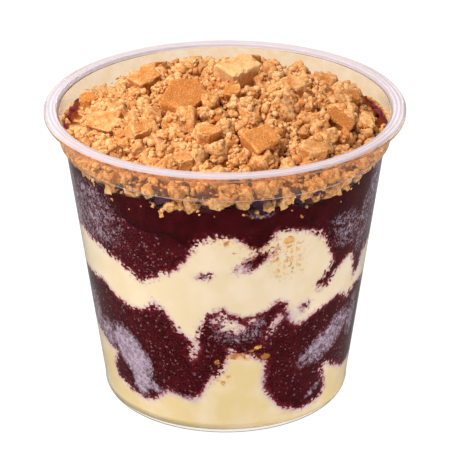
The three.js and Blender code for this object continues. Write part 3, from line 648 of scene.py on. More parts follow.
def pressed_filling(colours):
    """Frozen acai pulp and milk cream, spooned in and pressed flat against the cup. The cream is smooth and
    matt. The acai is a dark red-purple full of ice grains, breaks up into grains at its edge, is marbled with
    frozen milk, and stains the cream beside it lavender. Only where it lies bare does it shine, moist. The
    pale smears at the cup's left and right edges are painted sheen, and the dark line where the smoother slab
    ends is painted shade in its fold."""
    material, add, at = new_material("frozen_acai_and_milk_cream")
    # Each noise by the size of its features in mm, its detail and its roughness.
    noise = {name: add("TexNoise", {"Vector": at, "Scale": pattern(mm), "Detail": detail, "Roughness": rough})
             for name, mm, detail, rough in (
                 ("edge", 11.0, 1.0, 0.5), ("whipped", 9.0, 2.0, 0.5), ("mass", 4.5, 3.0, 0.6),
                 ("smear", 2.8, 3.0, 0.65), ("ragged", 2.0, 3.0, 0.6), ("marbling", 1.4, 4.0, 0.7),
                 ("crumb", 1.25, 2.0, 0.6), ("tatter", 0.6, 1.0, 0.5), ("speckle", 0.42, 2.0, 0.7))}
    depth, frost_and_sheen, grainy, crumbs, biscuits, crease_shade, bare = (
        add("Attribute", output="Fac", attribute_name=name)
        for name in ("acai_depth", "frost_and_sheen", "grain", "crumbs", "biscuit", "crease_shade", "bare"))
    grains = (add("TexVoronoi", {"Vector": at, "Scale": pattern(mm)}, "Color")
              for mm in (LARGE_GRAIN_MM, SMALL_GRAIN_MM))
    large, small = (add("SeparateColor", (grain,)).node.outputs for grain in grains)
    height = add("SeparateXYZ", (at,), "Z")

    # Depth into the acai, with its edge torn by three sizes of raggedness, each taken about its middle: 1.9
    # is half of 2.6 and 1.2 together.
    grain_tear = add("MapRange", (noise["edge"], 0.4, 0.6, 0.9, 2.2), **EASED)
    torn = add("Math", (depth, 1.9), **MINUS)
    torn = add("Math", (noise["ragged"], 2.6, torn), **TIMES_PLUS)
    torn = add("Math", (add("Math", (large[0], 0.5), **MINUS), grain_tear, torn), **TIMES_PLUS)
    torn = add("Math", (noise["tatter"], 1.2, torn), **TIMES_PLUS)

    # Frozen milk lies in patches, and at the cup's left and right edges the same patches are painted sheen:
    # the more of it, the less of the mottling stays free of it.
    mottled = add("Math", (small[2], 0.35, -0.12), **TIMES_PLUS)
    mottled = add("Math", (noise["smear"], 0.7, mottled), **TIMES_PLUS)
    free_below = add("Math", (frost_and_sheen, -0.46, 0.44), **TIMES_PLUS)
    full_above = add("Math", (frost_and_sheen, -0.35, 0.95), **TIMES_PLUS)
    patchy = add("MapRange", (mottled, free_below, full_above), **EASED)
    patchy = add("Math", (patchy, add("MapRange", (frost_and_sheen, 0.0, 0.25), **EASED)), **TIMES)
    halo = add("Math", (noise["ragged"], 1.5, depth), **TIMES_PLUS)
    halo = add("Math", (add("MapRange", (halo, -1.85, 0.65, 0.0, 0.55), **EASED),
                        add("MapRange", (height, 0.05, 0.03, 0.35, 1.0), **EASED)), **TIMES)

    cream = colours.cream_lower
    for share, coat in (
            (add("MapRange", (height, 0.022, 0.045), **EASED), colours.cream_middle),
            (add("MapRange", (noise["whipped"], 0.35, 0.75, 0.0, 0.5), **EASED), colours.cream_pale),
            # frozen milk on the cream, and painted sheen at the cup's edges
            (add("Math", (patchy, 0.8), **TIMES), colours.milk_lavender),
            (halo, colours.milk_lavender),
            (add("MapRange", (torn, -1.3, -0.05, 0.0, 0.75), **EASED), colours.acai_stain)):
        cream = add("Mix", {0: share, 6: cream, 7: coat}, **BLEND)

    red_share = add("Math", (add("MapRange", (noise["speckle"], 0.5, 0.66)),
                             add("Math", (grainy, 0.6, 0.05), **TIMES_PLUS)), **TIMES)
    ice_level = add("Math", (frost_and_sheen, -0.3, add("Math", (grainy, -0.07, 0.98), **TIMES_PLUS)), **TIMES_PLUS)
    ice_share = add("MapRange", (add("Math", (small[0], ice_level), **MINUS), 0.0, 0.08, 0.0, 0.38), **EASED)
    marbling = add("MapRange", (noise["marbling"], 0.36, 0.62), **EASED)
    thin_milk = tuple(0.45 * part for part in colours.frosted_acai_and_sheen)
    frost_and_sheen_coat = add("Mix", {0: marbling, 6: thin_milk, 7: colours.frosted_acai_and_sheen}, **BLEND)
    acai = colours.acai_dark
    for share, coat in (
            (add("MapRange", (noise["mass"], 0.35, 0.75), **EASED), colours.acai_mid),
            (red_share, colours.acai_red),
            (ice_share, colours.ice),
            # frozen milk on the acai, and painted sheen at the cup's edges
            (add("Math", (patchy, 0.9), **TIMES), frost_and_sheen_coat),
            # painted shade in the fold where the slab of smoother acai ends
            (add("Math", (crease_shade, 0.85), **TIMES), linear(CREASE_SHADE_COLOUR)),
            (add("MapRange", (torn, 0.1, 1.5, 0.7, 0.0), **EASED), colours.acai_red)):
        acai = add("Mix", {0: share, 6: acai, 7: coat}, **BLEND)

    crumb = add("Math", (crumbs, add("MapRange", (noise["crumb"], 0.53, 0.6), **EASED)), **TIMES)
    crumb = add("Math", (crumb, add("MapRange", (torn, 1.2, -0.6), **EASED)), **TIMES)
    nibbled = add("Math", (noise["tatter"], 1.2, add("Math", (biscuits, 0.6), **MINUS)), **TIMES_PLUS)
    nibbled = add("MapRange", (nibbled, -0.1, 0.35), **EASED)
    crumb = add("Math", (crumb, nibbled), operation="MAXIMUM")
    browned = add("MapRange", (noise["ragged"], 0.36, 0.6), **EASED)
    baked, lumpy = (
        add("Mix", {0: share, 6: linear(dark), 7: linear(light)}, **BLEND)
        for share, (dark, light) in ((browned, SUNK_CRUMB_COLOURS), (noise["ragged"], BARE_ACAI_COLOURS)))
    colour = cream
    for share, coat in ((add("MapRange", (torn, -0.2, 0.15), **EASED), acai),
                        (add("Math", (crumb, 0.92), **TIMES), baked), (bare, lumpy)):
        colour = add("Mix", {0: share, 6: colour, 7: coat}, **BLEND)
    gloss = add("Math", (bare, 0.35), **TIMES)
    finish_surface(add, {"Base Color": colour, "Roughness": 0.24, "Specular IOR Level": gloss},
                   noise["tatter"], 0.15, 0.5)
    return material


def clear_wall(colours):
    """Clear polypropylene, injection moulded and thin: glossy, with the faint wide marks of its flow."""
    material, add, at = new_material("clear_moulded_polypropylene")
    flow = add("TexNoise", {"Vector": at, "Scale": pattern(14.0), "Detail": 2.0, "Roughness": 0.5})
    bright = tuple(min(1.0, 1.03 * part) for part in colours.wall_tint)
    colour = add("Mix", {0: flow, 6: colours.wall_tint, 7: bright}, **BLEND)
    finish_surface(add, {"Base Color": colour, "Transmission Weight": 1.0, **THIN_PLASTIC}, flow, 0.05, 0.25)
    return material


def hazy_neck(colours):
    """The same thin plastic above the filling, tinted beige in uneven patches, which warms and veils what
    lies behind it. The tint is painted shade on the crumbs seen through the neck."""
    material, add, at = new_material("shade_tinted_moulded_polypropylene")
    # The noise makes the painted-shade tint uneven in patches.
    dust = add("TexNoise", {"Vector": at, "Scale": pattern(5.0), "Detail": 3.0, "Roughness": 0.6})
    thinner_tint = add("MapRange", (dust, 0.3, 0.75, 0.0, 0.3), **EASED)
    colour = add("Mix", {0: thinner_tint, 6: colours.neck_shade_tint, 7: colours.wall_tint}, **BLEND)
    finish_surface(add, {"Base Color": colour, "Transmission Weight": NECK_CLEARNESS, **THIN_PLASTIC},
                   dust, 0.05, 0.25)
    return material


def milky_plastic(name, colours, clearness):
    """The same polypropylene made milky, with fine turned lines, RIM_GROOVE apart: at the rim, where it is
    thick, and in a thin band on the shoulder's step, where the milkiness is painted reflection of the light
    that the step catches."""
    material, add, at = new_material(name)
    apart = add("SeparateXYZ", (at,)).node.outputs
    radius = add("VectorMath", (add("CombineXYZ", (apart[0], apart[1])),), "Value", operation="LENGTH")
    turned = add("Math", (radius, 2 * math.pi / (RIM_GROOVE * MM)), **TIMES)
    lines = add("Math", (turned,), operation="SINE")
    pale = tuple(min(1.0, 1.35 * part) for part in colours.rim_tint)
    ridge = add("MapRange", (lines, -1.0, 1.0), **EASED)
    colour = add("Mix", {0: ridge, 6: colours.rim_tint, 7: pale}, **BLEND)
    finish_surface(add, {"Base Color": colour, "Roughness": 0.3, "IOR": PLASTIC_INDEX,
                         "Transmission Weight": clearness}, lines, 0.03, 0.35)
    return material


def biscuit(name, colours, grit_mm, bump_mm):
    """Baked biscuit, broken and crumbled: dry, matt and gritty. It is paler where it is dusty, and stained by
    the acai in the deepest of its hollows; painted shade makes it browner in its hollows. Real grit is taken
    to be finer than the render can show, so it is drawn coarser."""
    material, add, at = new_material(name)
    patch, grit = (add("TexNoise", {"Vector": at, "Scale": pattern(size), "Detail": detail, "Roughness": 0.6})
                   for size, detail in ((2.6, 3.0), (grit_mm, 2.0)))
    tone, hollow_shade_and_stain = (add("Attribute", output="Fac", attribute_name=name) for name in ("tone", "hollow_shade_and_stain"))
    shade = add("Math", (patch, 0.8, add("Math", (tone, 0.6, -0.2), **TIMES_PLUS)), **TIMES_PLUS)
    colour = colours.biscuit_dark
    for (value, *steps), coat in (
            ((shade, 0.1, 0.85), colours.biscuit_light),
            ((shade, -0.15, 0.2, 0.35, 0.0), colours.biscuit_shade),
            ((grit, 0.45, 0.75, 0.0, 0.4), colours.biscuit_dust),
            ((grit, 0.48, 0.32, 0.0, 0.75), colours.biscuit_dark),
            # painted shade in the hollows, then the acai's stain in the deepest of them
            ((hollow_shade_and_stain, 0.0, 0.6), colours.biscuit_shade),
            ((hollow_shade_and_stain, 0.78, 1.0), colours.stained)):
        share = add("MapRange", (value, *steps), **EASED)
        colour = add("Mix", {0: share, 6: colour, 7: coat}, **BLEND)
    finish_surface(add, {"Base Color": colour, "Roughness": 0.95, "Specular IOR Level": 0.12},
                   grit, bump_mm, 0.9)
    return material


# ---------------------------------------------------------------------------------------------------
# Settings that a user would change
# ---------------------------------------------------------------------------------------------------

def length(name, description, default_mm):
    """A length setting, given in mm and kept in metres."""
    return bpy.props.FloatProperty(name=name, description=description, default=default_mm * MM, min=0.0,
                                   unit="LENGTH", subtype="DISTANCE", precision=5)


def tint(name, description, code):
    """A colour setting from its sRGB hex value."""
    return bpy.props.FloatVectorProperty(name=name, description=description, default=linear(code),
                                         min=0.0, max=1.0, subtype="COLOR")


def crumb_count(name, description, default):
    """How many crumbs of a kind are drawn."""
    return bpy.props.IntProperty(name=name, description=description, default=default, min=1)


def light_power(name, description, default):
    """How strong a light is."""
    return bpy.props.FloatProperty(name=name, description=description, default=default, min=0.0)


class CupSettings(bpy.types.PropertyGroup):
    """The clear cup."""
    rim_line: length("Rim line height", "How far the turned lines stand up on the rim", 0.05)
    wall_tint: tint("Wall tint", "What the clear wall does to the light that passes", "#F6EFE8")
    # The neck's tint is painted shade on the crumbs seen through it.
    neck_shade_tint: tint("Neck tint", "Colour of the biscuit dust on the neck", "#E9CBA6")
    rim_tint: tint("Rim tint", "Colour of the thick milky rim", "#CCC3C9")


class FillingSettings(bpy.types.PropertyGroup):
    """The layers of acai and cream."""
    into_wall: length("Reach into the wall", "How far the filling reaches into the plastic", 0.15)
    cream_middle: tint("Middle cream", "Cream between the two layers of acai", "#E8D6B3")
    cream_lower: tint("Bottom cream", "Warmer cream at the foot of the cup", "#E4CE99")
    cream_pale: tint("Pale cream", "Cream where it is whipped lighter", "#F4E6D4")
    acai_dark: tint("Acai, dark", "Dense frozen acai", "#2E0406")
    acai_mid: tint("Acai, middle", "Acai with more ice in it", "#420A10")
    acai_red: tint("Acai, grains", "Red-brown grains, and acai thinned out at its edge", "#7A2833")
    acai_stain: tint("Acai stain", "Cream just beside the acai", "#B98A92")
    ice: tint("Ice", "Small ice crystals in the acai", "#B4909C")
    # Also the colour of the painted sheen at the cup's left and right edges.
    frosted_acai_and_sheen: tint("Frosted acai", "Acai with frozen milk smeared through it", "#C6B2C6")
    milk_lavender: tint("Stained milk", "Milk coloured by the acai", "#CDBBCB")


class CrumbleSettings(bpy.types.PropertyGroup):
    """The crumble and the large biscuit pieces."""
    grain: length("Granule spacing", "Distance between the little lumps on the heap", 1.25)
    biscuit_dark: tint("Biscuit, dark", "Browner, inside a broken piece", "#BE712D")
    biscuit_light: tint("Biscuit, light", "Usual face of the biscuit", "#E6B67E")
    biscuit_dust: tint("Biscuit dust", "Dry pale dust on the pieces", "#FAD8A6")
    # The colour of the painted shade down between the crumbs.
    biscuit_shade: tint("Biscuit, deep", "Down between the crumbs", "#74330E")
    stained: tint("Stained crumb", "Crumb that the acai has soaked", "#542C40")
    medium_crumbs: crumb_count("Medium crumbs", "Loose crumbs of 2 to 3 mm", 1500)
    small_crumbs: crumb_count("Small crumbs", "Loose crumbs of 1 to 2 mm", 3800)
    fine_crumbs: crumb_count("Fine crumbs", "Loose grains under 1 mm", 3200)


class StageSettings(bpy.types.PropertyGroup):
    """Floor, light and camera."""
    floor: tint("Floor", "Plain pale floor", "#505050")
    glow: light_power("Floor glow", "How far the floor burns out to white", 1.0)
    sky: light_power("Sky", "Strength of the even light", 0.15)
    key: light_power("Key light", "Power of the main soft light", 6.0)
    fill: light_power("Front light", "Power of the wide lights in front and behind", 0.75)
    tilt: bpy.props.FloatProperty(name="Camera height angle", description="Angle above the floor",
                                  default=0.43238, subtype="ANGLE", unit="ROTATION")
    distance: length("Camera distance", "From the camera to the middle of the cup", 850.09)
    lens: bpy.props.FloatProperty(name="Lens", description="Focal length in mm", default=219.54,
                                  min=1.0, unit="CAMERA")


# ---------------------------------------------------------------------------------------------------
# Operators, one for each piece or group of like pieces
# ---------------------------------------------------------------------------------------------------

class CUP_OT_stage(bpy.types.Operator):
    """Make the pale floor, the soft lights and the camera"""
    bl_idname = "acai_cup.stage"
    bl_label = "Stage"

    def execute(self, context):
        stage = context.scene.acai_stage
        floor_piece(stage)
        world = bpy.data.worlds.new("soft_studio")
        world.use_nodes = True
        world.node_tree.nodes.clear()
        add = functools.partial(add_node, world.node_tree)
        matt = add("LightPath", output="Is Diffuse Ray")
        seen_or_lit = add("MapRange", (matt, 0.0, 1.0, 0.9, stage.sky), **EASED)
        add("OutputWorld", (add("Background", ((1.0, 0.99, 0.985), seen_or_lit)),))
        context.scene.world = world

        for light in (softbox("key", -44, 56, 700, 200, stage.key, (1.0, 0.97, 0.93)),
                      softbox("back", 175, 48, 700, 260, 1.5, (1.0, 0.98, 0.96)),
                      softbox("front", 8, -8, 800, 700, stage.fill, (1.0, 0.98, 0.96)),
                      softbox("behind", 180, -8, 800, 700, stage.fill, (1.0, 0.98, 0.96)),
                      softbox("left", -76, 12, 600, 360, 1.9, (0.96, 0.97, 1.0)),
                      softbox("right", 72, -12, 600, 360, 2.8, (0.97, 0.97, 1.0)),
                      softbox("under", 0, -34, 600, 500, 1.7, (1.0, 0.98, 0.95))):
            light.visible_glossy = light.visible_transmission = False

        eye = bpy.data.cameras.new("photo_view")
        eye.lens, eye.sensor_width = stage.lens, 36.0
        camera = bpy.data.objects.new("photo_view", eye)
        context.scene.collection.objects.link(camera)
        camera.matrix_world = looking_at(VIEW_MIDDLE * MM, 0, stage.tilt, stage.distance, VIEW_ROLL)
        context.scene.camera = camera
        context.scene.view_settings.view_transform = "Standard"
        cycles = context.scene.cycles
        cycles.max_bounces, cycles.transmission_bounces, cycles.diffuse_bounces = 14, 12, 5
        cycles.caustics_refractive = cycles.caustics_reflective = False
        return {"FINISHED"}


def floor_piece(stage):
    """A wide matt paper floor. It glows to the eye, which burns the shadows out as in a product photo, and
    looks darker in the plastic's reflections and to the light that bounces off it."""
    material, add, at = new_material("matt_paper_floor")
    clouds = add("TexNoise", {"Vector": at, "Scale": pattern(FLOOR_CLOUDS), "Detail": 2.0, "Roughness": 0.5})
    cloudy = add("Mix", {0: clouds, 6: stage.floor, 7: tuple(0.9 * part for part in stage.floor)}, **BLEND)
    seen = add("LightPath").node.outputs
    glow = add("MapRange", (seen["Is Reflection Ray"], 0.0, 1.0, stage.glow, 0.22), **EASED)
    glow = add("Math", (glow, add("Math", (1.0, seen["Is Diffuse Ray"]), **MINUS)), **TIMES)
    finish_surface(add, {"Base Color": cloudy, "Roughness": 0.9, "Emission Color": (1.0, 1.0, 1.0),
                         "Emission Strength": glow})
    ways = np.array([(-1, -1, 0), (1, -1, 0), (1, 1, 0), (-1, 1, 0)])
    corners = FLOOR_HALF * ways - (0, 0, FLOOR_GAP)
    floor = make_piece("floor", corners, [np.array([[0, 1, 2, 3]])], material, flat=True)
    floor.visible_shadow = False
    return floor


def looking_at(target, azimuth, elevation, distance, roll):
    """Where a camera or light stands to look at a target, from angles in radians and a distance: its place,
    and axes across, up and back."""
    back = Vector((math.sin(azimuth) * math.cos(elevation), -math.cos(azimuth) * math.cos(elevation),
                   math.sin(elevation)))
    across = Vector((math.cos(azimuth), math.sin(azimuth), 0))
    up = back.cross(across)
    turned = across * math.cos(roll) + up * math.sin(roll)
    up = up * math.cos(roll) - across * math.sin(roll)
    rows = Matrix((turned, up, back)).transposed().to_4x4()
    return Matrix.Translation(target + back * distance) @ rows


def softbox(name, azimuth, elevation, distance, size, power, colour):
    """A large square light at a side and height in degrees and a distance in mm, turned to the cup. Its size
    is in mm."""
    lamp = bpy.data.lights.new(name, "AREA")
    lamp.size, lamp.energy, lamp.color = size * MM, power, colour
    light = bpy.data.objects.new(name, lamp)
    bpy.context.scene.collection.objects.link(light)
    lamp.cycles.use_multiple_importance_sampling = False
    azimuth, elevation = math.radians(azimuth), math.radians(elevation)
    light.matrix_world = looking_at(Vector((0, 0, 0.06)), azimuth, elevation, distance * MM, 0.0)
    return light


class CUP_OT_cup(bpy.types.Operator):
    """Make the clear cup with its milky rim"""
    bl_idname = "acai_cup.cup"
    bl_label = "Clear cup"

    def execute(self, context):
        settings = context.scene.acai_clear_cup
        profile = cup_profile(settings.rim_line / MM)
        rings = place(all_round(CUP_STEPS)[None], profile[:, :1], profile[:, 1:])
        points, faces = closed_turn(rings, (0, 0, BASE_RECESS), (0, 0, FLOOR))
        piece = make_piece("clear_cup", points, faces, clear_wall(settings))
        for material in (milky_plastic("milky_moulded_polypropylene", settings, RIM_CLEARNESS),
                         hazy_neck(settings),
                         milky_plastic("shoulder_line_painted_reflection", settings, LEDGE_CLEARNESS)):
            piece.data.materials.append(material)
        middles = np.zeros(len(piece.data.polygons) * 3, np.float32)
        piece.data.polygons.foreach_get("center", middles)
        x, y, z = middles.reshape(-1, 3).T / MM
        radius = np.hypot(x, y)
        thick = (z > CUP_HEIGHT - RIM_CORNER - 0.1) & (radius > RIM_INNER_RADIUS - 0.7)
        step = SHOULDER_Z + SHOULDER_RISE
        # The band on the shoulder's step is made half milky: painted reflection of the light that it catches.
        ledge = (np.abs(z - step + 0.06) < 0.2) & (radius > inner_radius(z) + 0.3)
        neck = ~thick & ~ledge & (z > step)
        piece.data.polygons.foreach_set("material_index", (thick + 2 * neck + 3 * ledge).astype(np.int32))
        piece.visible_shadow = False
        dress(piece, "clear_plastic", "cup")
        return {"FINISHED"}


def cup_profile(line):
    """The cup's half section as (radius, height) points: outside from the base up, over the rim with its
    turned lines, and down the inside to the floor. Corners are arcs, straight runs are evenly stepped."""
    def arc(centre_r, centre_z, radius, start, end, count):
        angle = np.radians(np.linspace(start, end, count))
        return np.stack([centre_r + radius * np.cos(angle), centre_z + radius * np.sin(angle)], 1)

    def run(start, end, count):
        share = np.linspace(0, 1, count)[:, None]
        return np.array(start) * (1 - share) + np.array(end) * share

    skirt_foot = CUP_HEIGHT - RIM_SKIRT
    plate_foot = CUP_HEIGHT - RIM_PLATE
    step_top = SHOULDER_Z + SHOULDER_RISE
    share = np.linspace(0, 1, 14)
    shoulder = np.stack([SHOULDER_RADIUS + SHOULDER_STEP * smooth(share),
                         SHOULDER_Z + SHOULDER_RISE * share], 1)
    corner = BASE_CORNER - WALL
    top = run((RIM_RADIUS - RIM_CORNER - 0.05, CUP_HEIGHT), (RIM_INNER_RADIUS + 0.35, CUP_HEIGHT), 60)
    top[:, 1] -= line * (1 - np.cos(2 * np.pi * (RIM_RADIUS - RIM_CORNER - top[:, 0]) / RIM_GROOVE)) / 2
    neck_z = np.linspace(CUP_HEIGHT - 0.9, step_top + 0.05, 16)
    wall_z = np.linspace(SHOULDER_Z, FLOOR + corner, 40)
    return np.concatenate([
        run((0.5, BASE_RECESS), (BASE_RING_INNER - BASE_RECESS, BASE_RECESS), 12),
        arc(BASE_RING_INNER + 0.3, 0.3, 0.3, 180, 270, 4),
        arc(BASE_RADIUS - BASE_CORNER, BASE_CORNER, BASE_CORNER, -90, 0, 20),
        run((BASE_RADIUS, BASE_CORNER + 1), (SHOULDER_RADIUS, SHOULDER_Z - 0.05), 40),
        shoulder,
        run((SHOULDER_RADIUS + SHOULDER_STEP, step_top + 0.05), (NECK_TOP_RADIUS, plate_foot - 0.3), 16),
        arc(NECK_TOP_RADIUS + 0.3, plate_foot - 0.3, 0.3, 180, 90, 5),
        run((NECK_TOP_RADIUS + 0.5, plate_foot), (RIM_RADIUS - RIM_CORNER - 0.1, plate_foot), 6),
        run((RIM_RADIUS - RIM_CORNER, plate_foot - 0.1), (RIM_RADIUS - RIM_CORNER, skirt_foot + 0.5), 4),
        arc(RIM_RADIUS - 0.5 * RIM_CORNER, skirt_foot + 0.4, 0.4, 180, 360, 9),
        arc(RIM_RADIUS - RIM_CORNER, CUP_HEIGHT - RIM_CORNER, RIM_CORNER, 0, 90, 10),
        top,
        arc(RIM_INNER_RADIUS + 0.3, CUP_HEIGHT - 0.35, 0.3, 90, 180, 6),
        np.stack([inner_radius(neck_z), neck_z], 1),
        (shoulder - (WALL, 0))[::-1],
        np.stack([inner_radius(wall_z - 0.05), wall_z - 0.05], 1),
        arc(BASE_RADIUS - BASE_CORNER, FLOOR + corner, corner, -1, -90, 16),
        run((BASE_RADIUS - BASE_CORNER - 0.5, FLOOR), (0.5, FLOOR), 12)])


class CUP_OT_layers(bpy.types.Operator):
    """Make the layers of acai and cream, pressed just into the cup's wall"""
    bl_idname = "acai_cup.layers"
    bl_label = "Acai and cream layers"

    def execute(self, context):
        settings = context.scene.acai_filling
        material = pressed_filling(settings)
        # Name, boundaries below and above, slot, and rows of points up the wall.
        layers = [("cream_lower", CUP_FLOOR, LOWER_CREAM_TOP, "bottom_cream", 60),
                  ("acai_lower", LOWER_CREAM_TOP, LOWER_ACAI_TOP, "acai", 72),
                  ("cream_middle", LOWER_ACAI_TOP, MIDDLE_CREAM_TOP, "middle_cream", 74),
                  ("acai_upper", MIDDLE_CREAM_TOP, UPPER_ACAI_TOP, "acai", 78)]
        for name, below, above, slot, rows in layers:
            points, faces = layer_shape(below, above, rows, settings.into_wall / MM)
            looks = wall_looks(points)
            radius = np.hypot(points[:, 0], points[:, 1])
            # The acai lies bare where the heap draws back, and has biscuit dust on it above the shoulder.
            shows = smooth((0.97 - heap_share(side_of(points))) / 0.02)
            looks["bare"] = smooth((inner_radius(points[:, 2]) - 0.1 - radius) / 0.8) * shows
            dusty = np.clip(0.7 * (points[:, 2] - SHOULDER_Z - 0.6), -3, 3) * (1 - looks["bare"])
            looks["biscuit"] = np.maximum(looks["biscuit"], dusty)
            piece = make_piece("pressed_" + name, points, faces, material, looks)
            dress(piece, slot, name)
        return {"FINISHED"}


def layer_shape(below, above, rows, into_wall):
    """A layer of filling: rings out along its lower boundary, up the wall, and in along its upper one. A
    boundary runs from its middle height to its wall height by a power of the share of the radius."""
    sides = all_round(LAYER_STEPS)
    floor = FLOOR - into_wall

    def surface(boundary, shares, bumpy):
        middle, ring = boundary
        wall_z = np.maximum(height_at(ring, sides), floor)
        radius = wall_radius(wall_z)
        z = middle + (wall_z - middle) * shares[:, None] ** MIDDLE_CALM
        points = place(sides[None], shares[:, None] * radius[None], np.maximum(z, floor))
        if bumpy:
            flat = points.reshape(-1, 3)
            rough = granules(flat, 2.6, 8) + 0.6 * granules(flat, 1.1, 9) - 1.3
            fading = smooth((1 - np.repeat(shares, LAYER_STEPS)) / 0.03)
            points = (flat + np.array([0, 0, 1.1]) * (rough * fading)[:, None]).reshape(points.shape)
        return points

    def wall_radius(z):
        return inner_radius(np.maximum(z, FLOOR)) + into_wall * smooth((z - floor) / 0.4)

    shows = above is UPPER_ACAI_TOP
    inward = np.linspace(0.98, 0.1, 8)
    if shows:
        inward = np.concatenate([np.linspace(0.999, 0.86, 22), np.linspace(0.8, 0.1, 6)])
    low = np.maximum(height_at(below[1], sides), floor)
    high = height_at(above[1], sides)
    up = np.linspace(0, 1, rows)[:, None]
    wall_z = low + (high - low) * up
    wall = place(sides[None], wall_radius(wall_z), wall_z)
    under = surface(below, np.linspace(0.1, 0.98, 8), False)
    rings = np.concatenate([under, wall, surface(above, inward, shows)])
    return closed_turn(rings, (0, 0, max(below[0], floor)), (0, 0, above[0]))


class CUP_OT_heap(bpy.types.Operator):
    """Make the crumble's core and the clods on it"""
    bl_idname = "acai_cup.heap"
    bl_label = "Crumble heap"

    def execute(self, context):
        settings = context.scene.acai_crumble
        material = biscuit("baked_biscuit_crumble", settings, 0.5, 0.12)
        points, faces, looks, _ = heap_core(settings.grain / MM)
        dress(make_piece("crumble_heap", points, faces, material, looks), "crumble", "crumble")
        rng = np.random.default_rng(5)
        for name, (centres, sizes), relief in (("clods", clods(), 0.32), ("lumps", between_clods(99), 0.32),
                                               ("wall_clods", wall_clods(80), 0.22)):
            points, faces, looks = clumps(centres, sizes, rng, relief)
            piece = make_piece("crumble_" + name, inside_cup(points, 0.2), faces, material, looks)
            dress(piece, "crumble")
        return {"FINISHED"}


def between_clods(count):
    """Places and sizes of middling lumps: the same spiral over the dome, wound the other way."""
    index = np.arange(count)
    side = (20 - index * GOLDEN_ANGLE + 20 * draw(index, 51) + 180) % 360 - 180
    radius = (dome_edge(side) - 1) * np.sqrt((index + 0.5) / count)
    size = 1.3 + 1.5 * draw(index, 52) ** 1.4
    reach = np.minimum(radius, inner_radius(HEAP_EDGE) - WALL_CLEARANCE - size)
    top = place(side, reach, heap_z(reach) - 0.1 * size)
    free = clear_of_chunks(top, 1.15)
    return top[free], size[free]


def clear_of_chunks(points, reach):
    """Which points lie outside all the large pieces, each taken that many times its size."""
    return np.all([inside_chunk(points, index) > reach for index in range(len(CHUNKS))], axis=0)


def against_wall(spots, into, sink):
    """Places and sizes of the crumbs of a table of side, height and size. Each is drawn in from the wall by a
    share of its size, from so many mm inside the plastic."""
    side, z, size = np.array(spots).T
    return place(side, inner_radius(z) + into - sink * size, z), size


def wall_clods(count):
    """Places and sizes of the clods against the wall, from the acai up to the dome's edge: two steps of an
    even quasi-random walk give the side and the height, so that they spread with gaps between them."""
    index = np.arange(count)
    side = (index * 360 * 0.7548777 + 6 * draw(index, 61)) % 360 - 180
    size = 1.7 + 1.5 * draw(index, 62) ** 1.2
    covered = heap_share(side) > 0.95
    low = np.where(covered, height_at(UPPER_ACAI_TOP[1], side), SHOULDER_Z) + 0.3 * size
    high = np.where(covered, WALL_CRUMBS_TOP - 0.8 * size, 87 - size)
    z = low + (high - low) * ((index * 0.5698403 + 0.5) % 1)
    kept = low < high
    spots = place(side, inner_radius(z) + 0.2 - 0.93 * size, z)[kept]
    hung, hung_size = against_wall(HUNG_CLODS, 0.25, 0.9)
    return np.concatenate([spots, hung]), np.concatenate([size[kept], hung_size])


def inside_cup(points, margin=0.02):
    """Points drawn in to so many mm outside the cup's inner surface where they pass it."""
    radius = np.hypot(points[:, 0], points[:, 1])
    room = inner_radius(np.minimum(points[:, 2], CUP_HEIGHT)) + margin
    shrink = np.minimum(1, room / np.maximum(radius, 1e-6))
    return points * np.stack([shrink, shrink, np.ones(len(points))], 1)


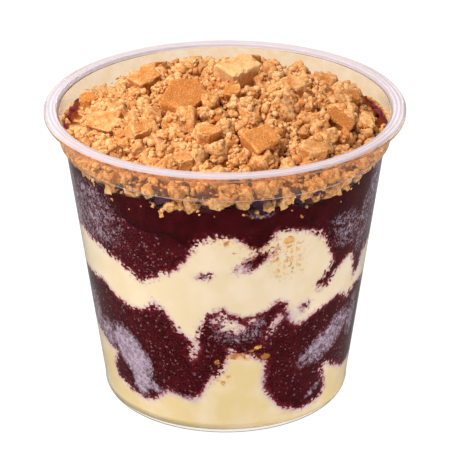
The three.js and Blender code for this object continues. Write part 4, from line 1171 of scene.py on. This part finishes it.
def heap_core(grain):
    """The heap under its loose crumbs: the dome in rings out from its top, then down its side to the acai,
    and back in. It is swollen along its normal with two sizes of little balls. Returns its points, faces,
    looks, and a function that gives the surface's height at a side and radius."""
    steps, dome_rows, side_rows = CORE_STEPS, CORE_DOME_ROWS, CORE_FLANK_ROWS
    sides = all_round(steps)
    edge = dome_edge(sides)
    inmost = 0.012
    shares = np.linspace(inmost, 1, dome_rows)[:, None]
    dome = place(sides[None], shares * edge, heap_z(shares * edge) - CORE_DEPTH)
    acai_z = height_at(UPPER_ACAI_TOP[1], sides)
    foot_z = acai_z - 0.2
    foot_r = heap_share(sides) * inner_radius(acai_z)
    down = np.linspace(0, 1, side_rows + 1)[1:, None]
    edge_z = heap_z(edge) - CORE_DEPTH
    flank = place(sides[None], edge + (foot_r - edge) * down, edge_z + (foot_z - edge_z) * down)
    flank[..., :2] *= (1 + 0.012 * np.sin(np.pi * down))[..., None]
    skin = np.concatenate([dome, flank])
    flat = skin.reshape(-1, 3)
    along = np.roll(skin, -1, 1) - np.roll(skin, 1, 1)
    outward = np.gradient(skin, axis=0)
    normal = np.cross(outward, along).reshape(-1, 3)
    normal /= np.maximum(np.linalg.norm(normal, axis=1, keepdims=True), 1e-9)
    coarse = granules(flat, 3.8, 2)
    fine = granules(flat, grain, 3)
    slow = swell(flat, 7.0, 6)
    relief = 0.9 * coarse + 0.65 * fine + 0.4 * slow - 1.85
    points = inside_cup(flat + normal * relief[:, None])
    # The hollows are painted darker, as shade, and the rows by the wall are stained by the acai wherever the
    # heap touches it.
    deep = smooth((-0.3 - relief) / 0.9)
    low = np.concatenate([np.zeros(dome_rows - 12), np.linspace(0, 1, 12), np.ones(side_rows)])
    low = (low[:, None] * smooth((heap_share(sides) - 0.93) / 0.03)).ravel()
    hollow_shade_and_stain = np.maximum(0.6 * deep, low * smooth((0.9 - relief + 0.6 * slow) / 0.9))
    rings = points.reshape(skin.shape)
    under = place(sides[None], np.linspace(0.9, 0.1, 4)[:, None] * foot_r, foot_z[None])
    rings = np.concatenate([rings, under])[::-1]
    points, faces = closed_turn(rings, (0, 0, UPPER_ACAI_TOP[0]), (0, 0, heap_z(0) - 0.3))
    spare = np.zeros(4 * steps)
    looks = {
        "hollow_shade_and_stain": np.concatenate([np.concatenate([hollow_shade_and_stain, spare]).reshape(-1, steps)[::-1].ravel(), [0, 0]]),
        "tone": np.concatenate([0.5 + 0.5 * swell(rings.reshape(-1, 3), 1.6, 14), [0.5, 0.5]]),
    }
    top = skin[:dome_rows, :, 2] + (normal[:, 2] * relief).reshape(skin.shape[:2])[:dome_rows]

    def surface_z(side, radius):
        row = np.clip(radius / np.interp(side, sides, edge, period=360), inmost, 1)
        row = (row - inmost) / (1 - inmost) * (dome_rows - 1)
        column = (side + 180) / 360 * steps
        return top[np.rint(row).astype(int), np.rint(column).astype(int) % steps]

    return points, faces, looks, surface_z


def clods():
    """Places and sizes of the heap's largest crumbs, by the CAD's rule: a sunflower spiral over the dome,
    largest spread evenly and small ones by the wall, then a ring of crumbs at the wall."""
    index = np.arange(TOP_CRUMBS)
    side = (index * GOLDEN_ANGLE + 14 * draw(index, 1) + 180) % 360 - 180
    edge = dome_edge(side) + 0.5
    radius = edge * np.sqrt((index + 0.5) / TOP_CRUMBS)
    largest, smallest = TOP_CRUMB_SIZES
    size = smallest + (largest - smallest) * draw(index, 2) ** 1.5
    size = np.where(edge - radius < EDGE_BAND, np.minimum(size, EDGE_CRUMB_SIZE), size)
    reach = np.minimum(radius, inner_radius(HEAP_EDGE) - WALL_CLEARANCE - size)
    top = place(side, reach, heap_z(reach) - CRUMB_SINK * size)
    index = np.arange(SIDE_CRUMBS)
    counted = TOP_CRUMBS + index
    around = -180 + 360 * (index + 0.6 * draw(counted, 1)) / SIDE_CRUMBS
    largest, smallest = SIDE_CRUMB_SIZES
    girth = smallest + (largest - smallest) * draw(counted, 2)
    low = height_at(UPPER_ACAI_TOP[1], around) + 0.15 + girth + 0.7
    high = HEAP_EDGE - 0.3
    z = low + (high - low) * draw(counted, 7)
    kept = (low < high) & (heap_share(around) > 0.96)
    ring = place(around, inner_radius(z - girth) - WALL_CLEARANCE - girth, z)[kept]
    return np.concatenate([top, ring]), np.concatenate([size, girth[kept]])


class CUP_OT_crumbs(bpy.types.Operator):
    """Scatter the loose crumbs over the heap and against the wall"""
    bl_idname = "acai_cup.crumbs"
    bl_label = "Loose crumbs"

    def execute(self, context):
        settings = context.scene.acai_crumble
        surface_z = heap_core(settings.grain / MM)[3]
        material = biscuit("loose_biscuit_crumbs", settings, 0.35, 0.08)
        plain, cut = unit_ball(1), unit_ball(2, 8)
        # Name, ball, count, half sizes in mm, how uneven, and the seed of its draws.
        kinds = [("medium", cut, settings.medium_crumbs, 0.8, 1.5, 0.42, 21),
                 ("small", plain, settings.small_crumbs, 0.4, 0.9, 0.55, 22),
                 ("fine", plain, settings.fine_crumbs, 0.24, 0.42, 0.5, 23)]
        for name, ball, count, smallest, largest, uneven, seed in kinds:
            rng = np.random.default_rng(seed)
            centres, sizes = scattered(count, smallest, largest, surface_z, rng)
            points, faces, looks = lumps(ball, centres, sizes, uneven, rng)
            piece = make_piece(name + "_crumbs", inside_cup(points), faces, material, looks)
            dress(piece, "crumble")
        rng = np.random.default_rng(24)
        centres, sizes = wall_crumbs(rng)
        points, faces, looks = lumps(cut, centres, sizes, 0.4, rng)
        dress(make_piece("wall_crumbs", inside_cup(points, 0.25), faces, material, looks), "crumble")
        return {"FINISHED"}


def scattered(count, smallest, largest, surface_z, rng):
    """Drawn places over the heap: even over its area, standing on the core or on a clod, and left out where
    a large piece is. Sizes are drawn towards the smallest."""
    side = -180 + 360 * rng.random(count)
    size = smallest + (largest - smallest) * rng.random(count) ** 1.6
    drawn = np.sqrt(rng.random(count)) * (dome_edge(side) - 1.2)
    radius = np.minimum(drawn, inner_radius(HEAP_EDGE) - size - 0.1)
    points = place(side, radius, surface_z(side, radius))
    clod_at, clod_size = clods()
    away = np.linalg.norm(points[:, None, :2] - clod_at[None, :, :2], axis=2)
    over = clod_at[None, :, 2] + np.sqrt(np.maximum(0, (0.95 * clod_size[None]) ** 2 - away ** 2))
    over = np.where(away < 0.9 * clod_size[None], over, -1e9).max(1)
    points[:, 2] = np.maximum(points[:, 2], over) + 0.25 * size
    free = clear_of_chunks(points - np.array([0, 0, 0.5]), 1.08)
    return points[free], size[free]


def wall_crumbs(rng):
    """Small crumbs against the wall from the acai's surface up, and a few that have sunk into the acai."""
    side = -180 + 360 * rng.random(WALL_CRUMBS)
    size = 0.4 + 0.8 * rng.random(WALL_CRUMBS) ** 2
    low = height_at(UPPER_ACAI_TOP[1], side) - 0.5
    z = low + (WALL_CRUMBS_TOP - low) * rng.random(WALL_CRUMBS) ** 0.8
    kept = (low < 85.0) & (heap_share(side) > 0.95)
    ring = place(side, inner_radius(z) - 0.7 * size, z)[kept]
    sunk, sunk_size = against_wall(SUNK_CRUMBS, 0.3, 0.85)
    return np.concatenate([ring, sunk]), np.concatenate([size[kept], sunk_size])


class CUP_OT_chunks(bpy.types.Operator):
    """Make the large broken biscuit pieces"""
    bl_idname = "acai_cup.chunks"
    bl_label = "Large biscuit pieces"

    def execute(self, context):
        material = biscuit("broken_baked_biscuit", context.scene.acai_crumble, 0.36, 0.2)
        for index in range(len(CHUNKS)):
            points, faces, looks = chunk_shape(index)
            name = f"chunk_{index + 1:02d}"
            dress(make_piece("biscuit_" + name, points, faces, material, looks), "biscuit", name)
        return {"FINISHED"}


def chunk_frame(index):
    """A large piece's face directions and reaches, its turn as a matrix, and its middle."""
    at, lift, (width, depth, height), count, turn, tip, roll = CHUNKS[index]
    side = np.arange(count)
    number = index * 10 + side
    angle = 2 * np.pi * (side + 0.35 * (draw(number, 11) - 0.5)) / count
    lean = 0.5 * (draw(number, 12) - 0.5)
    normals = np.stack([np.cos(angle), np.sin(angle), lean], 1)
    normals /= np.linalg.norm(normals, axis=1, keepdims=True)
    reaches = np.hypot(width * np.cos(angle), depth * np.sin(angle)) * (1 - CORNER_UNEVEN * draw(number, 13))
    normals = np.concatenate([normals, [(0, 0, 1), (0, 0, -1)]])
    reaches = np.concatenate([reaches, [height, height]])
    rolled, tipped, turned = (Matrix.Rotation(math.radians(angle), 3, axis)
                              for angle, axis in ((roll, "Y"), (tip, "X"), (turn, "Z")))
    middle = np.array([at[0], at[1], heap_z(math.hypot(*at)) + lift])
    return normals, reaches, np.array(rolled @ tipped @ turned), middle


def support(normals, reaches, ways, rounding):
    """The power sum over a block's faces of cosine over reach: 1 on its surface, less inside."""
    return np.sum(np.maximum(0, ways @ normals.T / reaches) ** rounding, 1) ** (1 / rounding)


def inside_chunk(points, index):
    """How far out each point lies in a large piece: below 1 inside it."""
    normals, reaches, turned, middle = chunk_frame(index)
    return support(normals, reaches, (points - middle) @ turned, CHUNK_ROUNDING)


def chunk_shape(index):
    """A broken block: each way out from its middle ends where the power sum over its faces is one, less
    what has chipped off its edges, with the fine grain of the crumb raised on it."""
    normals, reaches, turned, middle = chunk_frame(index)
    ways, faces = unit_ball(6)
    shape = ways / support(normals, reaches, ways, CHUNK_CRISPNESS)[:, None]
    parts = np.maximum(0, shape @ normals.T / reaches)
    edge = smooth((np.sort(parts, 1)[:, -2] - 0.72) / 0.28)
    spread = shape + 40 * index
    chipped = edge * (0.75 * smooth(swell(spread, 1.7, 3) + 0.2) + 0.05)
    grain = 0.17 * (granules(spread, 0.9, 5) - 0.55) + 0.2 * (granules(spread, 0.5, 6) - 0.3)
    grain = grain + 0.22 * swell(spread, 2.6, 7)
    points = (shape + ways * (grain - chipped - 0.2)[:, None]) @ turned.T + middle
    points[:, 2] = np.minimum(points[:, 2], CAD_BOX[1].z / MM - 0.05)
    # The tone rises along the edges: a painted highlight on them.
    tone = CHUNK_TONES[index % len(CHUNK_TONES)] + 0.35 * edge + 0.3 * swell(spread, 1.2, 8)
    return points, [faces], {"tone": tone}


class CUP_PT_panel(bpy.types.Panel):
    """Lists the pieces and their settings"""
    bl_idname = "CUP_PT_panel"
    bl_label = "Layered Acai Cup"
    bl_space_type = "VIEW_3D"
    bl_region_type = "UI"
    bl_category = "Acai Cup"

    def draw(self, context):
        for operator, group in PANEL_ROWS:
            box = self.layout.box()
            box.operator(operator.bl_idname)
            settings = getattr(context.scene, group)
            for name in settings.bl_rna.properties.keys():
                if name not in ("rna_type", "name"):
                    box.prop(settings, name)


OPERATORS = (CUP_OT_stage, CUP_OT_cup, CUP_OT_layers, CUP_OT_heap, CUP_OT_crumbs, CUP_OT_chunks)
PANEL_ROWS = ((CUP_OT_stage, "acai_stage"), (CUP_OT_cup, "acai_clear_cup"), (CUP_OT_layers, "acai_filling"),
              (CUP_OT_heap, "acai_crumble"), (CUP_OT_crumbs, "acai_crumble"), (CUP_OT_chunks, "acai_crumble"))
GROUPS = {"acai_clear_cup": CupSettings, "acai_filling": FillingSettings, "acai_crumble": CrumbleSettings,
          "acai_stage": StageSettings}


def register():
    for group in GROUPS.values():
        bpy.utils.register_class(group)
    for name, group in GROUPS.items():
        setattr(bpy.types.Scene, name, bpy.props.PointerProperty(type=group))
    for operator in (*OPERATORS, CUP_PT_panel):
        bpy.utils.register_class(operator)


def unregister():
    for operator in (*OPERATORS, CUP_PT_panel):
        bpy.utils.unregister_class(operator)
    for name in GROUPS:
        delattr(bpy.types.Scene, name)
    for group in GROUPS.values():
        bpy.utils.unregister_class(group)


def main():
    """Registers the add-on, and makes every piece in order."""
    register()
    bpy.ops.acai_cup.stage()
    bpy.ops.acai_cup.cup()
    bpy.ops.acai_cup.layers()
    bpy.ops.acai_cup.heap()
    bpy.ops.acai_cup.crumbs()
    bpy.ops.acai_cup.chunks()


if __name__ == "__main__":
    main()
